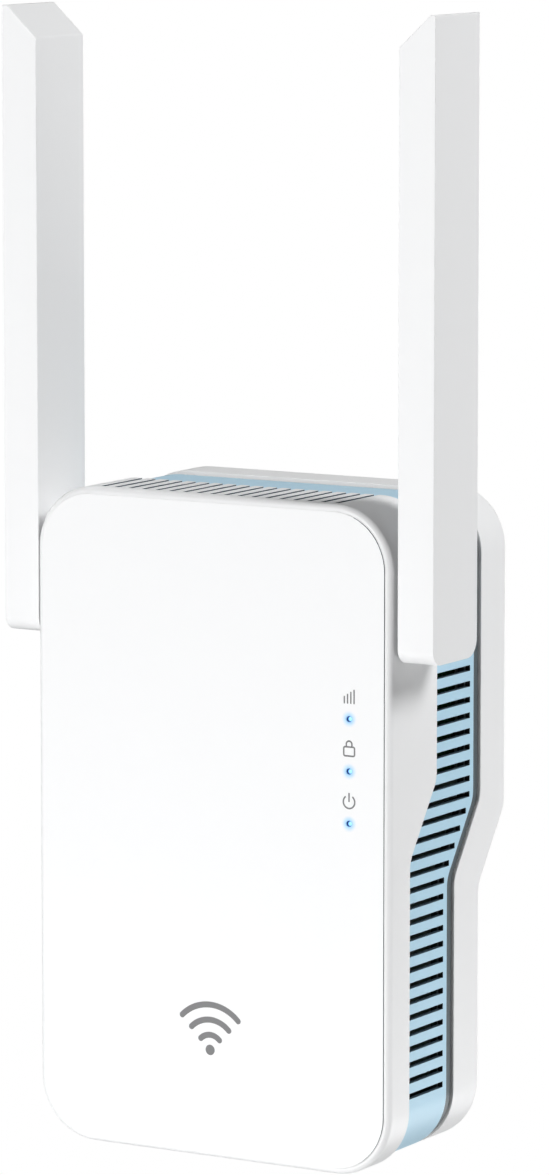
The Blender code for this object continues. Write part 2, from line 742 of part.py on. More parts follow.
def make_power_board():
    front, back = POWER_BOARD_DEPTH, POWER_BOARD_DEPTH + BOARD_THICKNESS
    shape = depth_block((-31 * MM, 31 * MM), (front, back), (70.5 * MM, 121 * MM))
    board = mesh_object("power_board", shape, circuit_green())
    span = (front - MM, back + MM)
    notches = [side_notch(side, 24.8 * MM, span, (111.5 * MM, 125 * MM)) for side in (-1, 1)]
    cut(board, "notches", joined(notches))

    near = front - GAP
    yellow = material("transformer_tape", (0.75, 0.62, 0.10), 0.5)
    core_shape = depth_block((-11 * MM, 11 * MM), (near - 14 * MM, near), (84 * MM, 102 * MM))
    core = mesh_object("transformer", core_shape, yellow)
    corner_depths = (near - 15 * MM, near + MM)
    corners = [
        depth_block(x_range, corner_depths, height_range)
        for x_range in ((-12 * MM, -7.5 * MM), (7.5 * MM, 12 * MM))
        for height_range in ((83 * MM, 87 * MM), (99 * MM, 103 * MM))
    ]
    cut(core, "corners", joined(corners))
    cans = (
        ("bulk_capacitor_1", -22, 96, 5.0, 15.0),
        ("bulk_capacitor_2", -22, 83, 5.0, 15.0),
        ("output_capacitor", 21, 80, 4.0, 12.0),
    )
    for name, x, height, radius, tall in cans:
        start = (x * MM, FRONT_Y + near, BOTTOM_Z + height * MM)
        profile = [
            (0.0, 0.0),
            (0.0, radius * MM),
            ((tall - 2.2) * MM, radius * MM),
            ((tall - 1.8) * MM, (radius - 0.5) * MM),
            ((tall - 1.2) * MM, (radius - 0.5) * MM),
            ((tall - 0.8) * MM, radius * MM),
            (tall * MM, (radius - 0.4) * MM),
            (tall * MM, 0.0),
        ]
        mesh_object(name, turned(profile, start, (0, -1, 0)), black_plastic())
    fuse = front_to_back(-14 * MM, 110 * MM, near - 7 * MM, near, 2.4 * MM)
    mesh_object("fuse", fuse, black_plastic())
    rectifier = depth_block((-3 * MM, 5 * MM), (near - 3 * MM, near), (107 * MM, 113 * MM))
    mesh_object("bridge_rectifier", rectifier, black_plastic())
    choke = turned(
        [(0.0, 1.5 * MM), (0.0, 5 * MM), (5 * MM, 5 * MM), (5 * MM, 1.5 * MM)],
        (21 * MM, FRONT_Y + near, BOTTOM_Z + 96 * MM),
        (0, -1, 0),
    )
    mesh_object("filter_choke", choke, material("copper_winding", (0.60, 0.28, 0.12), 0.4, 0.8))
    film = material("insulation_film", (0.85, 0.85, 0.80), 0.4)
    film_shape = depth_block((-30 * MM, 30 * MM), (19.4 * MM, 19.9 * MM), (68 * MM, 112 * MM))
    sheet = mesh_object("insulation_sheet", film_shape, film)
    link_x = (14 * MM, 20 * MM)
    cut(sheet, "link_hole", depth_block(link_x, (19 * MM, 21 * MM), (71 * MM, 75 * MM)))
    link_front = MAIN_BOARD_DEPTH + BOARD_THICKNESS + GAP
    link_shape = depth_block(link_x, (link_front, near), (71.5 * MM, 74.5 * MM))
    link = mesh_object("board_link", link_shape, black_plastic())
    waist = [
        depth_block((x - MM, x + MM), (14 * MM, 32 * MM), (70 * MM, 76 * MM)) for x in link_x
    ]
    cut(link, "waist", joined(waist))


def make_lights():
    for name, height in LED_HEIGHTS.items():
        back = MAIN_BOARD_DEPTH - GAP
        shape = depth_block(
            (LED_X - 0.9 * MM, LED_X + 0.9 * MM),
            (back - 0.6 * MM, back),
            (height - 0.5 * MM, height + 0.5 * MM),
        )
        mesh_object(name, shape, material("led_lens", (0.95, 0.95, 0.85), 0.2))
    heights = sorted(LED_HEIGHTS.values())
    bar = depth_block(
        (LED_X - 1.2 * MM, LED_X + 1.2 * MM),
        (WALL + GAP, WALL + GAP + 1.2 * MM),
        (heights[0] - 1.4 * MM, heights[-1] + 1.4 * MM),
    )
    guide = mesh_object("light_guide", bar, clear_plastic())
    pins = [
        front_to_back(LED_X, height, 0.1 * MM, MAIN_BOARD_DEPTH - 1.2 * MM, 0.48 * MM, 16)
        for height in heights
    ]
    add(guide, "pins", joined(pins))


# ---- Port and buttons on the underside --------------------------------------------------------
def make_network_port():
    x_range = (PORT_X - JACK_HALF_WIDTH, PORT_X + JACK_HALF_WIDTH)
    depth_range = (PORT_DEPTH - JACK_HALF_DEPTH, PORT_DEPTH + JACK_HALF_DEPTH)
    shape = depth_block(x_range, depth_range, JACK_HEIGHTS)
    jack = mesh_object("network_jack", shape, black_plastic())
    half = PORT_WIDTH / 2
    low, high = PORT_DEPTH - PORT_HEIGHT / 2, PORT_DEPTH + PORT_HEIGHT / 2
    mouth = depth_block((PORT_X - half, PORT_X + half), (low, high - 1.7 * MM), (0, 16 * MM))
    latch = depth_block((PORT_X - 3 * MM, PORT_X + 3 * MM), (low + MM, high), (0, 14 * MM))
    cut(jack, "mouth", mouth)
    cut(jack, "latch", latch)
    slope = swept(
        [
            (PORT_X - 5 * MM, FRONT_Y + low + 0.4 * MM, BOTTOM_Z + 7 * MM),
            (PORT_X - 5 * MM, FRONT_Y + low + 1.2 * MM, BOTTOM_Z + 15.9 * MM),
            (PORT_X - 5 * MM, FRONT_Y + low - 0.5 * MM, BOTTOM_Z + 15.9 * MM),
            (PORT_X - 5 * MM, FRONT_Y + low - 0.5 * MM, BOTTOM_Z + 7 * MM),
        ],
        (10 * MM, 0, 0),
    )
    add(jack, "contact_comb", slope)


def button_outline(grow, z):
    """The pairing button's slot shape as points at a height, grown by a margin."""
    half = BUTTON_SIZE[0] / 2 - BUTTON_SIZE[1] / 2
    radius = BUTTON_SIZE[1] / 2 + grow
    points = []
    for side, first in ((1, -90), (-1, 90)):
        for step in range(9):
            angle = math.radians(first + 180 * step / 8)
            x = BUTTON_X + side * half + radius * math.cos(angle)
            y = FRONT_Y + BUTTON_DEPTH + radius * math.sin(angle)
            points.append((x, y, z))
    return points


def make_buttons():
    travel_axis = (BUTTON_X, FRONT_Y + BUTTON_DEPTH, BOTTOM_Z)
    button = mesh_object(
        "pairing_button",
        swept(button_outline(0.0, BOTTOM_Z - 0.4 * MM), (0, 0, 3.4 * MM)),
        white_plastic(),
    )
    collar = swept(button_outline(0.9 * MM, BOTTOM_Z + WALL + GAP), (0, 0, 1.0 * MM))
    stem = cylinder(
        (BUTTON_X, travel_axis[1], BOTTOM_Z + 2.9 * MM),
        (BUTTON_X, travel_axis[1], BOTTOM_Z + 4.6 * MM),
        1.2 * MM,
    )
    add(button, "collar", collar)
    add(button, "stem", stem)
    move_origin(button, travel_axis)
    for word, x in (("pairing", BUTTON_X), ("reset", RESET_X)):
        half = 3.0 * MM
        depths = (MAIN_BOARD_DEPTH + BOARD_THICKNESS + GAP, BUTTON_DEPTH + 3 * MM)
        body = depth_block((x - half, x + half), depths, (6.6 * MM, 10.6 * MM))
        switch = mesh_object(f"{word}_switch", body, black_plastic())
        y = FRONT_Y + BUTTON_DEPTH
        well = cylinder((x, y, BOTTOM_Z + 5 * MM), (x, y, BOTTOM_Z + 9 * MM), 1.75 * MM)
        cut(switch, "plunger_well", well)
        plunger = cylinder((x, y, BOTTOM_Z + 4.9 * MM), (x, y, BOTTOM_Z + 8.0 * MM), 1.5 * MM)
        made = mesh_object(f"{word}_plunger", plunger, black_plastic())
        move_origin(made, (x, y, BOTTOM_Z + 4.9 * MM))


# ---- Antennas ---------------------------------------------------------------------------------
def blade_outline():
    """A blade's side view, as (y, z) points, with its lower corners rounded."""
    front = FRONT_Y + BLADE_SETBACK
    back = front + BLADE_DEPTH
    low = BOTTOM_Z + BLADE_BOTTOM
    high = low + BLADE_LENGTH
    points = [(front, high)]
    for y, turn, radius in (
        (front + BLADE_FRONT_RADIUS, 180, BLADE_FRONT_RADIUS),
        (back - BLADE_REAR_RADIUS, 270, BLADE_REAR_RADIUS),
    ):
        for step in range(7):
            angle = math.radians(turn + 90 * step / 6)
            points.append((y + radius * math.cos(angle), low + radius * (1 + math.sin(angle))))
    points.append((back, high))
    return points


def make_antenna(word, side):
    hinge = (side * SIDE_X, HINGE_Y, HINGE_Z)
    pivot = bpy.data.objects.new(f"antenna_{word}_pivot", None)
    pivot.location = hinge
    bpy.context.scene.collection.objects.link(pivot)

    x_in = SIDE_X + BLADE_GAP
    x_out = x_in + BLADE_THICKNESS
    front = FRONT_Y + BLADE_SETBACK
    back = front + BLADE_DEPTH
    low = BOTTOM_Z + BLADE_BOTTOM
    high = low + BLADE_LENGTH

    blank = swept([(side * x_in, y, z) for y, z in blade_outline()], (side * BLADE_THICKNESS, 0, 0))
    slant = [
        (side * (x_in - MM), front - MM, high - BLADE_CUT_HEIGHT - 0.92 * MM),
        (side * (x_in + BLADE_CUT_WIDTH + MM), front - MM, high + 0.92 * MM),
        (side * (x_in - MM), front - MM, high + 4 * MM),
    ]
    blank = sliced(blank, slant)
    bmesh.ops.bevel(
        blank,
        geom=[edge for edge in blank.edges if edge.calc_face_angle(0.0) > math.radians(35)],
        offset=BLADE_FILLET,
        segments=2,
        profile=0.5,
        affect="EDGES",
        material=-1,
    )
    shell = mesh_object(f"antenna_{word}_shell", blank, white_plastic())
    z_range = (low + 4.6 * MM, high - 8.5 * MM)
    hollow_x = (x_in + BLADE_WALL, x_out - BLADE_WALL)
    cut(shell, "hollow", side_block(side, *hollow_x, (front + BLADE_WALL, back + MM), z_range))
    root = -BLADE_GAP - BLADE_WALL / 2
    groove = (3.4 * MM, 4.4 * MM)
    barrel_end = SIDE_X - BARREL_INNER_END
    profile = [(root, 0.0), (root, BARREL_RADIUS), (groove[0], BARREL_RADIUS)]
    profile += [(along, BARREL_RADIUS - 0.9 * MM) for along in groove]
    profile += [(groove[1], BARREL_RADIUS), (barrel_end, BARREL_RADIUS), (barrel_end, 0.0)]
    add(shell, "barrel", turned(profile, hinge, (-side, 0, 0), ROUND))
    bore_ends = [(side * x, HINGE_Y, HINGE_Z) for x in (BARREL_INNER_END - MM, x_in + 2 * MM)]
    cut(shell, "bore", cylinder(*bore_ends, BARREL_BORE))

    strip_x = (hollow_x[0] + 0.15 * MM, hollow_x[1] - 0.15 * MM)
    strip_z = (z_range[0] + 0.15 * MM, z_range[1] - 0.15 * MM)
    strip = mesh_object(
        f"antenna_{word}_rear_strip",
        side_block(side, *strip_x, (back - 1.3 * MM, back), strip_z),
        white_plastic(),
    )
    middle = (x_in + x_out) / 2
    board = mesh_object(
        f"antenna_{word}_element",
        side_block(
            side,
            middle - 0.4 * MM,
            middle + 0.4 * MM,
            (front + 3 * MM, front + 13 * MM),
            (HINGE_Z + 8 * MM, high - 11 * MM),
        ),
        circuit_green(),
    )
    feed_path = quarter_bend(
        Vector((side * (SIDE_X - 0.5 * MM), HINGE_Y, HINGE_Z)),
        Vector((side * middle, HINGE_Y, HINGE_Z)),
        Vector((side * middle, HINGE_Y, HINGE_Z + 7.5 * MM)),
        2.2 * MM,
    )
    feed = cable(f"antenna_{word}_feed", feed_path)

    groove_middle = side * (SIDE_X - 3.9 * MM)
    clip_start = (groove_middle + side * 0.3 * MM, HINGE_Y, HINGE_Z)
    inner = BARREL_RADIUS - 0.7 * MM
    clip_ring = [(0.0, inner), (0.0, 5.6 * MM), (0.6 * MM, 5.6 * MM), (0.6 * MM, inner)]
    clip = mesh_object(
        f"hinge_clip_{word}", turned(clip_ring, clip_start, (-side, 0, 0), 24), steel()
    )
    mouth_y = (HINGE_Y - 2.4 * MM, HINGE_Y + 2.4 * MM)
    mouth_z = (HINGE_Z - 8 * MM, HINGE_Z)
    cut(clip, "mouth", side_block(side, 30 * MM, 38 * MM, mouth_y, mouth_z))
    washer_start = (side * (SIDE_X - WALL - 0.3 * MM), HINGE_Y, HINGE_Z)
    hole = BARREL_RADIUS + 0.2 * MM
    washer_ring = [(0.0, hole), (0.0, 6 * MM), (0.5 * MM, 6 * MM), (0.5 * MM, hole)]
    washer = mesh_object(
        f"hinge_washer_{word}", turned(washer_ring, washer_start, (-side, 0, 0), 24), nickel()
    )
    for piece in (shell, strip, board, clip, washer):
        move_origin(piece, hinge, pivot)
    feed.parent = pivot
    feed.matrix_parent_inverse = Matrix.Translation(-Vector(hinge))

    start = Vector((side * (BARREL_INNER_END - 0.4 * MM), HINGE_Y, HINGE_Z))
    corner = Vector((side * 24 * MM, HINGE_Y, HINGE_Z))
    end = Vector((side * 24 * MM, HINGE_Y, BOTTOM_Z + 95.2 * MM))
    cable(f"coax_{word}_lead", quarter_bend(start, corner, end, 5 * MM))
    plug_low = (side * 24 * MM, FRONT_Y + MAIN_BOARD_DEPTH + BOARD_THICKNESS + GAP, BOTTOM_Z + 93.5 * MM)
    connector = cylinder(plug_low, (plug_low[0], HINGE_Y + 0.9 * MM, plug_low[2]), 1.4 * MM, 16)
    mesh_object(f"coax_{word}_connector", connector, nickel())


def sliced(shape, triangle):
    """A blade's blank with its slanted top cut by the plane through three points."""
    first, second, _ = (Vector(point) for point in triangle)
    along = second - first
    normal = along.cross(Vector((0, 1, 0)))
    if normal.z < 0:
        normal = -normal
    bmesh.ops.bisect_plane(
        shape,
        geom=shape.verts[:] + shape.edges[:] + shape.faces[:],
        plane_co=first,
        plane_no=normal,
        clear_outer=True,
    )
    bmesh.ops.holes_fill(shape, edges=[edge for edge in shape.edges if edge.is_boundary])
    return shape


def quarter_bend(start, corner, end, radius):
    """A path from start to end that turns smoothly at a right-angled corner."""
    arrive = (corner - start).normalized()
    leave = (end - corner).normalized()
    path = [start]
    centre = corner - arrive * radius + leave * radius
    for step in range(7):
        angle = math.radians(90 * step / 6)
        path.append(centre - leave * radius * math.cos(angle) + arrive * radius * math.sin(angle))
    path.append(end)
    return path


def cable(name, path):
    curve = bpy.data.curves.new(name, "CURVE")
    curve.dimensions = "3D"
    curve.bevel_depth = 0.6 * MM
    curve.bevel_resolution = 2
    curve.use_fill_caps = True
    spline = curve.splines.new("POLY")
    spline.points.add(len(path) - 1)
    for point, place in zip(spline.points, path):
        point.co = (*place, 1.0)
    curve.materials.append(grey_plastic())
    made = bpy.data.objects.new(name, curve)
    bpy.context.scene.collection.objects.link(made)
    return made


# ---- Rating label -----------------------------------------------------------------------------
def make_label(shell):
    depth = BODY_DEPTH - STEP_FORWARD
    xs = (-24 * MM, 24 * MM)
    heights = (14 * MM, 42 * MM)
    cut(shell, "label_recess", depth_block(xs, (depth - 0.6 * MM, depth + MM), heights))
    inner_x = (xs[0] + 0.3 * MM, xs[1] - 0.3 * MM)
    inner_z = (heights[0] + 0.3 * MM, heights[1] - 0.3 * MM)
    label = depth_block(inner_x, (depth - 0.4 * MM, depth - 0.2 * MM), inner_z)
    mesh_object("rating_label", label, material("label_silver", (0.72, 0.73, 0.75), 0.45))


def main():
    clear_scene()
    make_front_cover()
    make_vent_band()
    make_seam_ring()
    shell = make_rear_shell()
    make_label(shell)
    make_plug()
    make_screws()
    make_main_board()
    make_power_board()
    make_lights()
    make_network_port()
    make_buttons()
    for word, side in (("left", -1), ("right", 1)):
        make_antenna(word, side)


main()
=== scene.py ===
"""Looks of the plug-in range extender: fine mouldings, printed marks, lit indicators, materials.

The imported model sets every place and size. Metres, +Z up, front face along -Y.
"""

import math

import bmesh
import bpy
from mathutils import Matrix, Vector


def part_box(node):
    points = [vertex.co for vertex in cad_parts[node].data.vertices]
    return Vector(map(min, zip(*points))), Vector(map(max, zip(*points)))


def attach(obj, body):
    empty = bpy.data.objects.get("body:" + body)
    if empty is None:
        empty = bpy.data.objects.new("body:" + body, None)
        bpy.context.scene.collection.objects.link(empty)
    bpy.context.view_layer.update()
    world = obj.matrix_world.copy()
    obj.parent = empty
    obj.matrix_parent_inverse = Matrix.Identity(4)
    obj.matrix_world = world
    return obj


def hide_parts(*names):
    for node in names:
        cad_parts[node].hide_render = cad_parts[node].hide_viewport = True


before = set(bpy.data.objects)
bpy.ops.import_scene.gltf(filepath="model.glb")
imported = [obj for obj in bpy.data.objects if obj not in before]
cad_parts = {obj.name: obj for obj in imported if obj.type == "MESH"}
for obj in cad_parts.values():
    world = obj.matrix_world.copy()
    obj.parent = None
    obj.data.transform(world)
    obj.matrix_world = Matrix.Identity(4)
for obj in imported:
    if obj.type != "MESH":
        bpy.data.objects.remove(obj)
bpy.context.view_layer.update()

MM = 0.001

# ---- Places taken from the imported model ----
COVER_LOW, COVER_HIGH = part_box("front_cover")
BAND_LOW, BAND_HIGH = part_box("vent_band")
REAR_LOW, REAR_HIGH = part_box("rear_shell")
FRONT_Y = COVER_LOW.y
BOTTOM_Z = COVER_LOW.z
TOP_Z = COVER_HIGH.z
SIDE_X = COVER_HIGH.x

# ---- Housing ----
CORNER_RADIUS = 12.0 * MM
CORNER_SEGMENTS = 24
WALL = 2.0 * MM
GAP = 0.3 * MM
PRINT_HEIGHT = 0.02 * MM
FRONT_FILLET = 1.3 * MM
PLATE_STEP = 0.25 * MM
BACK_FILLET = 2.4 * MM
LAYER_INSET = 0.3 * MM
RING_INSET = 0.8 * MM
# How far each layer stops short of its plain outline, at the top and at the bottom.
BAND_TRIM = (0.55 * MM, 0.7 * MM)
RING_TRIM = (0.5 * MM, 0.5 * MM)
REAR_TRIM = (0.15 * MM, 0.7 * MM)
LAYER_WALL = WALL - LAYER_INSET - BAND_TRIM[1]
EDGE_SOFTNESS = 0.12 * MM

# Each joint between layers turns forward below its bend, given as a height above the bottom.
COVER_BEND = 73.2 * MM
BAND_BEND = 67.6 * MM
RING_BEND = 67.2 * MM
BACK_BEND = 64.0 * MM
STEP_FORWARD = 10.0 * MM
STEP_HEIGHT = 14.0 * MM
STEP_RADIUS = 5.0 * MM
STEP_CUTS = 8
STEP_SLOPE = math.atan2(STEP_FORWARD, STEP_HEIGHT)
STEP_TANGENT = STEP_RADIUS * math.tan(STEP_SLOPE / 2)

BAND_FRONT = BAND_LOW.y + STEP_FORWARD
COVER_RIM = BAND_FRONT - GAP
BAND_REAR = BAND_HIGH.y
RING_FRONT = BAND_REAR + GAP
REAR_FRONT = REAR_LOW.y + STEP_FORWARD
RING_REAR = REAR_FRONT - GAP
BACK_Y = REAR_HIGH.y

# ---- Vents ----
VENT_PITCH = 3.0 * MM
VENT_WIDTH = 1.1 * MM
SIDE_VENTS = 33
LOWEST_SIDE_VENT = 14.6 * MM
SIDE_VENT_MARGIN = 1.4 * MM
SIDE_VENT_OVERRUN = 4.0 * MM
TOP_VENTS = 18
TOP_VENT_START = 2.9 * MM

# ---- Antennas ----
BLADE_GAP = 0.6 * MM
BLADE_CUT_WIDTH = 6.5 * MM
BLADE_CUT_HEIGHT = 6.0 * MM
BLADE_FRONT_RADIUS = 3.0 * MM
BLADE_REAR_RADIUS = 3.5 * MM
BLADE_FILLET = 0.2 * MM
BLADE_WALL = 1.4 * MM
BARREL_RADIUS = 4.0 * MM
BARREL_BORE = 1.5 * MM
BARREL_CLEARANCE = 0.15 * MM
BARREL_GROOVE = (3.4 * MM, 4.4 * MM)
BARREL_GROOVE_DEPTH = 0.9 * MM
BLADE_LOW, BLADE_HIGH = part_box("antenna_right_shell")
BARREL_INNER_END = BLADE_LOW.x
STRIP_LOW, STRIP_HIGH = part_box("antenna_right_rear_strip")
HINGE_REACH = (BLADE_HIGH.y - BLADE_LOW.y) / 2
HINGE = Vector((SIDE_X, BLADE_LOW.y + HINGE_REACH, BLADE_LOW.z + HINGE_REACH))

# ---- Indicators and printed marks ----
LED_X = 29.95 * MM
LED_HEIGHTS = {"signal": 86.4 * MM, "pairing": 76.6 * MM, "power": 66.8 * MM}
LED_HOLE = 0.6 * MM
LINE_WIDTH = 0.3 * MM

# ---- Plug, screws, port and buttons ----
PLUG_LOW, PLUG_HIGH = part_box("plug_base")
PLUG_RADIUS = 17.6 * MM
PLUG_WALL = 2.5 * MM
PIN_RADIUS = 2.4 * MM
PIN_X = 9.5 * MM
PIN_BOSS_RADIUS = 4.2 * MM
PIN_SLACK = 0.15 * MM
PLUG_EDGE = 0.9 * MM
GROOVE_DEPTHS = (0.4 * MM, 17.0 * MM)
SIDE_GROOVE = (15.9 * MM, 2.6 * MM)
TOP_GROOVE = (16.4 * MM, 3.2 * MM)
GROOVE_OUTSIDE = 19.0 * MM
POST_RADIUS = 3.0 * MM
POST_X = 29.5 * MM
POST_HEIGHTS = (9.5 * MM, 116.5 * MM)
POST_BORE = 1.35 * MM
POST_BORE_LENGTH = 10.0 * MM
STANDOFF_RADIUS = 2.4 * MM
STANDOFF_BORE = 0.95 * MM
STANDOFF_X = 30.5 * MM
STANDOFF_HEIGHTS = (20.0 * MM, 92.0 * MM)
BOARD_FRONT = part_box("main_board")[0].y
WELL_RADIUS = 3.1 * MM
WELL_DEPTH = 4.5 * MM
WELL_FLOOR = 1.5 * MM
BOSS_RADIUS = 4.3 * MM
SCREW_HOLE = 1.45 * MM
JACK_LOW, JACK_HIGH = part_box("network_jack")
PORT_X = (JACK_LOW.x + JACK_HIGH.x) / 2
PORT_DEPTH = (JACK_LOW.y + JACK_HIGH.y) / 2 - FRONT_Y
PORT_HALF_X = 5.95 * MM
PORT_HALF_Y = 4.15 * MM
PORT_MARGIN = 0.5 * MM
BUTTON_LOW, BUTTON_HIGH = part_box("pairing_button")
BUTTON_COLLAR = 0.9 * MM
BUTTON_HALF = (BUTTON_HIGH - BUTTON_LOW) / 2 - Vector((BUTTON_COLLAR, BUTTON_COLLAR, 0.0))
BUTTON_X = (BUTTON_LOW.x + BUTTON_HIGH.x) / 2
BUTTON_DEPTH = (BUTTON_LOW.y + BUTTON_HIGH.y) / 2 - FRONT_Y
BUTTON_SLACK = 0.2 * MM
RESET_X = (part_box("reset_plunger")[0].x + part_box("reset_plunger")[1].x) / 2
RESET_HOLE = 0.9 * MM
BUTTON_STEM = 1.2 * MM
CONTACT_PITCH = 1.02 * MM
CONTACT_RADIUS = 0.17 * MM
LABEL_CORNER = 1.2 * MM
GUIDE_THICKNESS = 1.2 * MM


# ---- Meshes ----
def piece(name, shape, smooth_angle=40.0):
    """Turn a bmesh into an object of the scene, shaded smooth between its sharp edges."""
    mesh = bpy.data.meshes.new(name)
    shape.to_mesh(mesh)
    shape.free()
    mesh.shade_smooth()
    mesh.set_sharp_from_angle(angle=math.radians(smooth_angle))
    made = bpy.data.objects.new(name, mesh)
    bpy.context.scene.collection.objects.link(made)
    return made


def settle(made):
    """Apply a piece's modifiers to its mesh."""
    graph = bpy.context.evaluated_depsgraph_get()
    solid = bpy.data.meshes.new_from_object(made.evaluated_get(graph))
    made.modifiers.clear()
    made.data = solid


def carve(made, shapes, operation="DIFFERENCE"):
    """Cut several separate shapes from a piece, or join them to it."""
    tool = piece("carving_tool", joined(shapes))
    modifier = made.modifiers.new("carve", "BOOLEAN")
    modifier.operation = operation
    modifier.solver = "EXACT"
    modifier.object = tool
    settle(made)
    bpy.data.objects.remove(tool, do_unlink=True)


def thicken(made, thickness):
    """Give an open skin its wall, inwards, with the rims closed."""
    modifier = made.modifiers.new("wall", "SOLIDIFY")
    modifier.thickness = thickness
    modifier.offset = -1.0
    modifier.use_even_offset = True
    settle(made)


def soften(made, width=EDGE_SOFTNESS, segments=2, angle=35.0):
    """Round a piece's sharp edges a little and keep its flat faces flat in the light."""
    modifier = made.modifiers.new("edges", "BEVEL")
    modifier.limit_method = "ANGLE"
    modifier.angle_limit = math.radians(angle)
    modifier.width = width
    modifier.segments = segments
    modifier.use_clamp_overlap = True
    modifier.miter_outer = "MITER_ARC"
    settle(made)
    made.data.shade_smooth()
    made.data.set_sharp_from_angle(angle=math.radians(60.0))
    flats = made.modifiers.new("flat_faces", "WEIGHTED_NORMAL")
    flats.keep_sharp = True
    settle(made)


def joined(shapes):
    whole = bmesh.new()
    for shape in shapes:
        mesh = bpy.data.meshes.new("joined")
        shape.to_mesh(mesh)
        shape.free()
        whole.from_mesh(mesh)
        bpy.data.meshes.remove(mesh)
    return whole


def block(low, high):
    shape = bmesh.new()
    size = Vector(high) - Vector(low)
    centre = (Vector(high) + Vector(low)) / 2
    place = Matrix.Translation(centre) @ Matrix.Diagonal((*size, 1.0))
    bmesh.ops.create_cube(shape, size=1.0, matrix=place)
    return shape


def block_about(centre, half):
    return block(Vector(centre) - Vector(half), Vector(centre) + Vector(half))


def pointing(start, direction):
    """The place and turn that lay a shape's own Z axis along a direction."""
    turn = Vector(direction).to_track_quat("Z", "Y").to_matrix().to_4x4()
    return Matrix.Translation(start) @ turn


def rod(start, end, radius, segments=32):
    start, end = Vector(start), Vector(end)
    shape = bmesh.new()
    bmesh.ops.create_cone(
        shape,
        cap_ends=True,
        segments=segments,
        radius1=radius,
        radius2=radius,
        depth=(end - start).length,
        matrix=pointing((start + end) / 2, end - start),
    )
    return shape


def turned(profile, start, direction, segments=48):
    """A profile of (distance, radius) spun about the line from a point in a direction."""
    shape = bmesh.new()
    ring = [shape.verts.new((radius, 0.0, along)) for along, radius in profile]
    edges = [shape.edges.new(pair) for pair in zip(ring, ring[1:])]
    if profile[0][1] > 0.0:
        edges.append(shape.edges.new((ring[-1], ring[0])))
    bmesh.ops.spin(
        shape,
        geom=ring + edges,
        cent=(0.0, 0.0, 0.0),
        axis=(0.0, 0.0, 1.0),
        dvec=(0.0, 0.0, 0.0),
        angle=math.tau,
        steps=segments,
        use_merge=True,
    )
    bmesh.ops.remove_doubles(shape, verts=shape.verts, dist=0.0001 * MM)
    bmesh.ops.transform(shape, verts=shape.verts, matrix=pointing(start, direction))
    bmesh.ops.recalc_face_normals(shape, faces=shape.faces)
    return shape


def flat_face(corners):
    """A bmesh that holds one flat face."""
    shape = bmesh.new()
    shape.faces.new([shape.verts.new(corner) for corner in corners])
    return shape


def upright_face(low, high):
    """One flat face across X and Z between two corners, at the lower one's depth."""
    y = low.y
    return flat_face([low, (high.x, y, low.z), (high.x, y, high.z), (low.x, y, high.z)])


def round_corner(shape, corners, radius, segments):
    values = {"offset": radius, "segments": segments, "profile": 0.5, "material": -1}
    bmesh.ops.bevel(shape, geom=corners, affect="VERTICES", **values)


def round_edges(shape, edges, radius, segments):
    values = {"offset": radius, "segments": segments, "profile": 0.5, "material": -1}
    bmesh.ops.bevel(shape, geom=edges, affect="EDGES", clamp_overlap=True, **values)


def extruded(shape, reach):
    """Pull the bmesh's only face out along a vector."""
    ends = bmesh.ops.extrude_face_region(shape, geom=shape.faces[:])["geom"]
    far = [item for item in ends if isinstance(item, bmesh.types.BMVert)]
    bmesh.ops.translate(shape, verts=far, vec=reach)
    bmesh.ops.recalc_face_normals(shape, faces=shape.faces)
    return shape


# ---- The housing's outline and its stepped joints ----
def housing_block(inset, front, back, trim=(0.0, 0.0)):
    """The housing's rounded outline, drawn in by inset and trim, from one plane to another."""
    reach = SIDE_X - inset
    low = Vector((-reach, front, BOTTOM_Z + inset + trim[1]))
    high = Vector((reach, front, TOP_Z - inset - trim[0]))
    shape = upright_face(low, high)
    round_corner(shape, shape.verts[:], CORNER_RADIUS - inset, CORNER_SEGMENTS)
    return extruded(shape, (0.0, back - front, 0.0))


def stepped(z, bend):
    """How far a joint has stepped forward at a height."""
    below = BOTTOM_Z + bend - z
    arc_end = STEP_TANGENT * math.cos(STEP_SLOPE)
    if below <= -STEP_TANGENT:
        return 0.0
    if below < arc_end:
        return STEP_RADIUS - math.sqrt(STEP_RADIUS**2 - (below + STEP_TANGENT) ** 2)
    if below <= STEP_HEIGHT - arc_end:
        return STEP_FORWARD * below / STEP_HEIGHT
    left = STEP_HEIGHT - below + STEP_TANGENT
    if left > 0.0:
        return STEP_FORWARD - STEP_RADIUS + math.sqrt(STEP_RADIUS**2 - left**2)
    return STEP_FORWARD


def bend_heights(bend):
    """The heights at which a wall needs a level line to follow a stepped joint."""
    heights = []
    for number in range(STEP_CUTS + 1):
        along = STEP_RADIUS * math.sin(STEP_SLOPE * number / STEP_CUTS) - STEP_TANGENT
        heights.append(BOTTOM_Z + bend - along)
        heights.append(BOTTOM_Z + bend - STEP_HEIGHT + along)
    return heights


def add_levels(shape, bends):
    for bend in bends:
        for z in bend_heights(bend):
            bmesh.ops.bisect_plane(
                shape,
                geom=shape.verts[:] + shape.edges[:] + shape.faces[:],
                dist=0.001 * MM,
                plane_co=(0.0, 0.0, z),
                plane_no=(0.0, 0.0, 1.0),
            )


def follow_joint(points, y_upper, bend):
    for point in points:
        point.co.y = y_upper - stepped(point.co.z, bend)


def points_at(shape, y):
    return [point for point in shape.verts if abs(point.co.y - y) < 0.001 * MM]


def open_end(shape, y):
    faces = [face for face in shape.faces if all(abs(v.co.y - y) < 0.001 * MM for v in face.verts)]
    bmesh.ops.delete(shape, geom=faces, context="FACES")


def edges_round(shape, y):
    """The outer edges of the flat end at y."""
    return [
        edge
        for edge in shape.edges
        if all(abs(v.co.y - y) < 0.001 * MM for v in edge.verts)
        and edge.calc_face_angle(0.0) > math.radians(45.0)
    ]


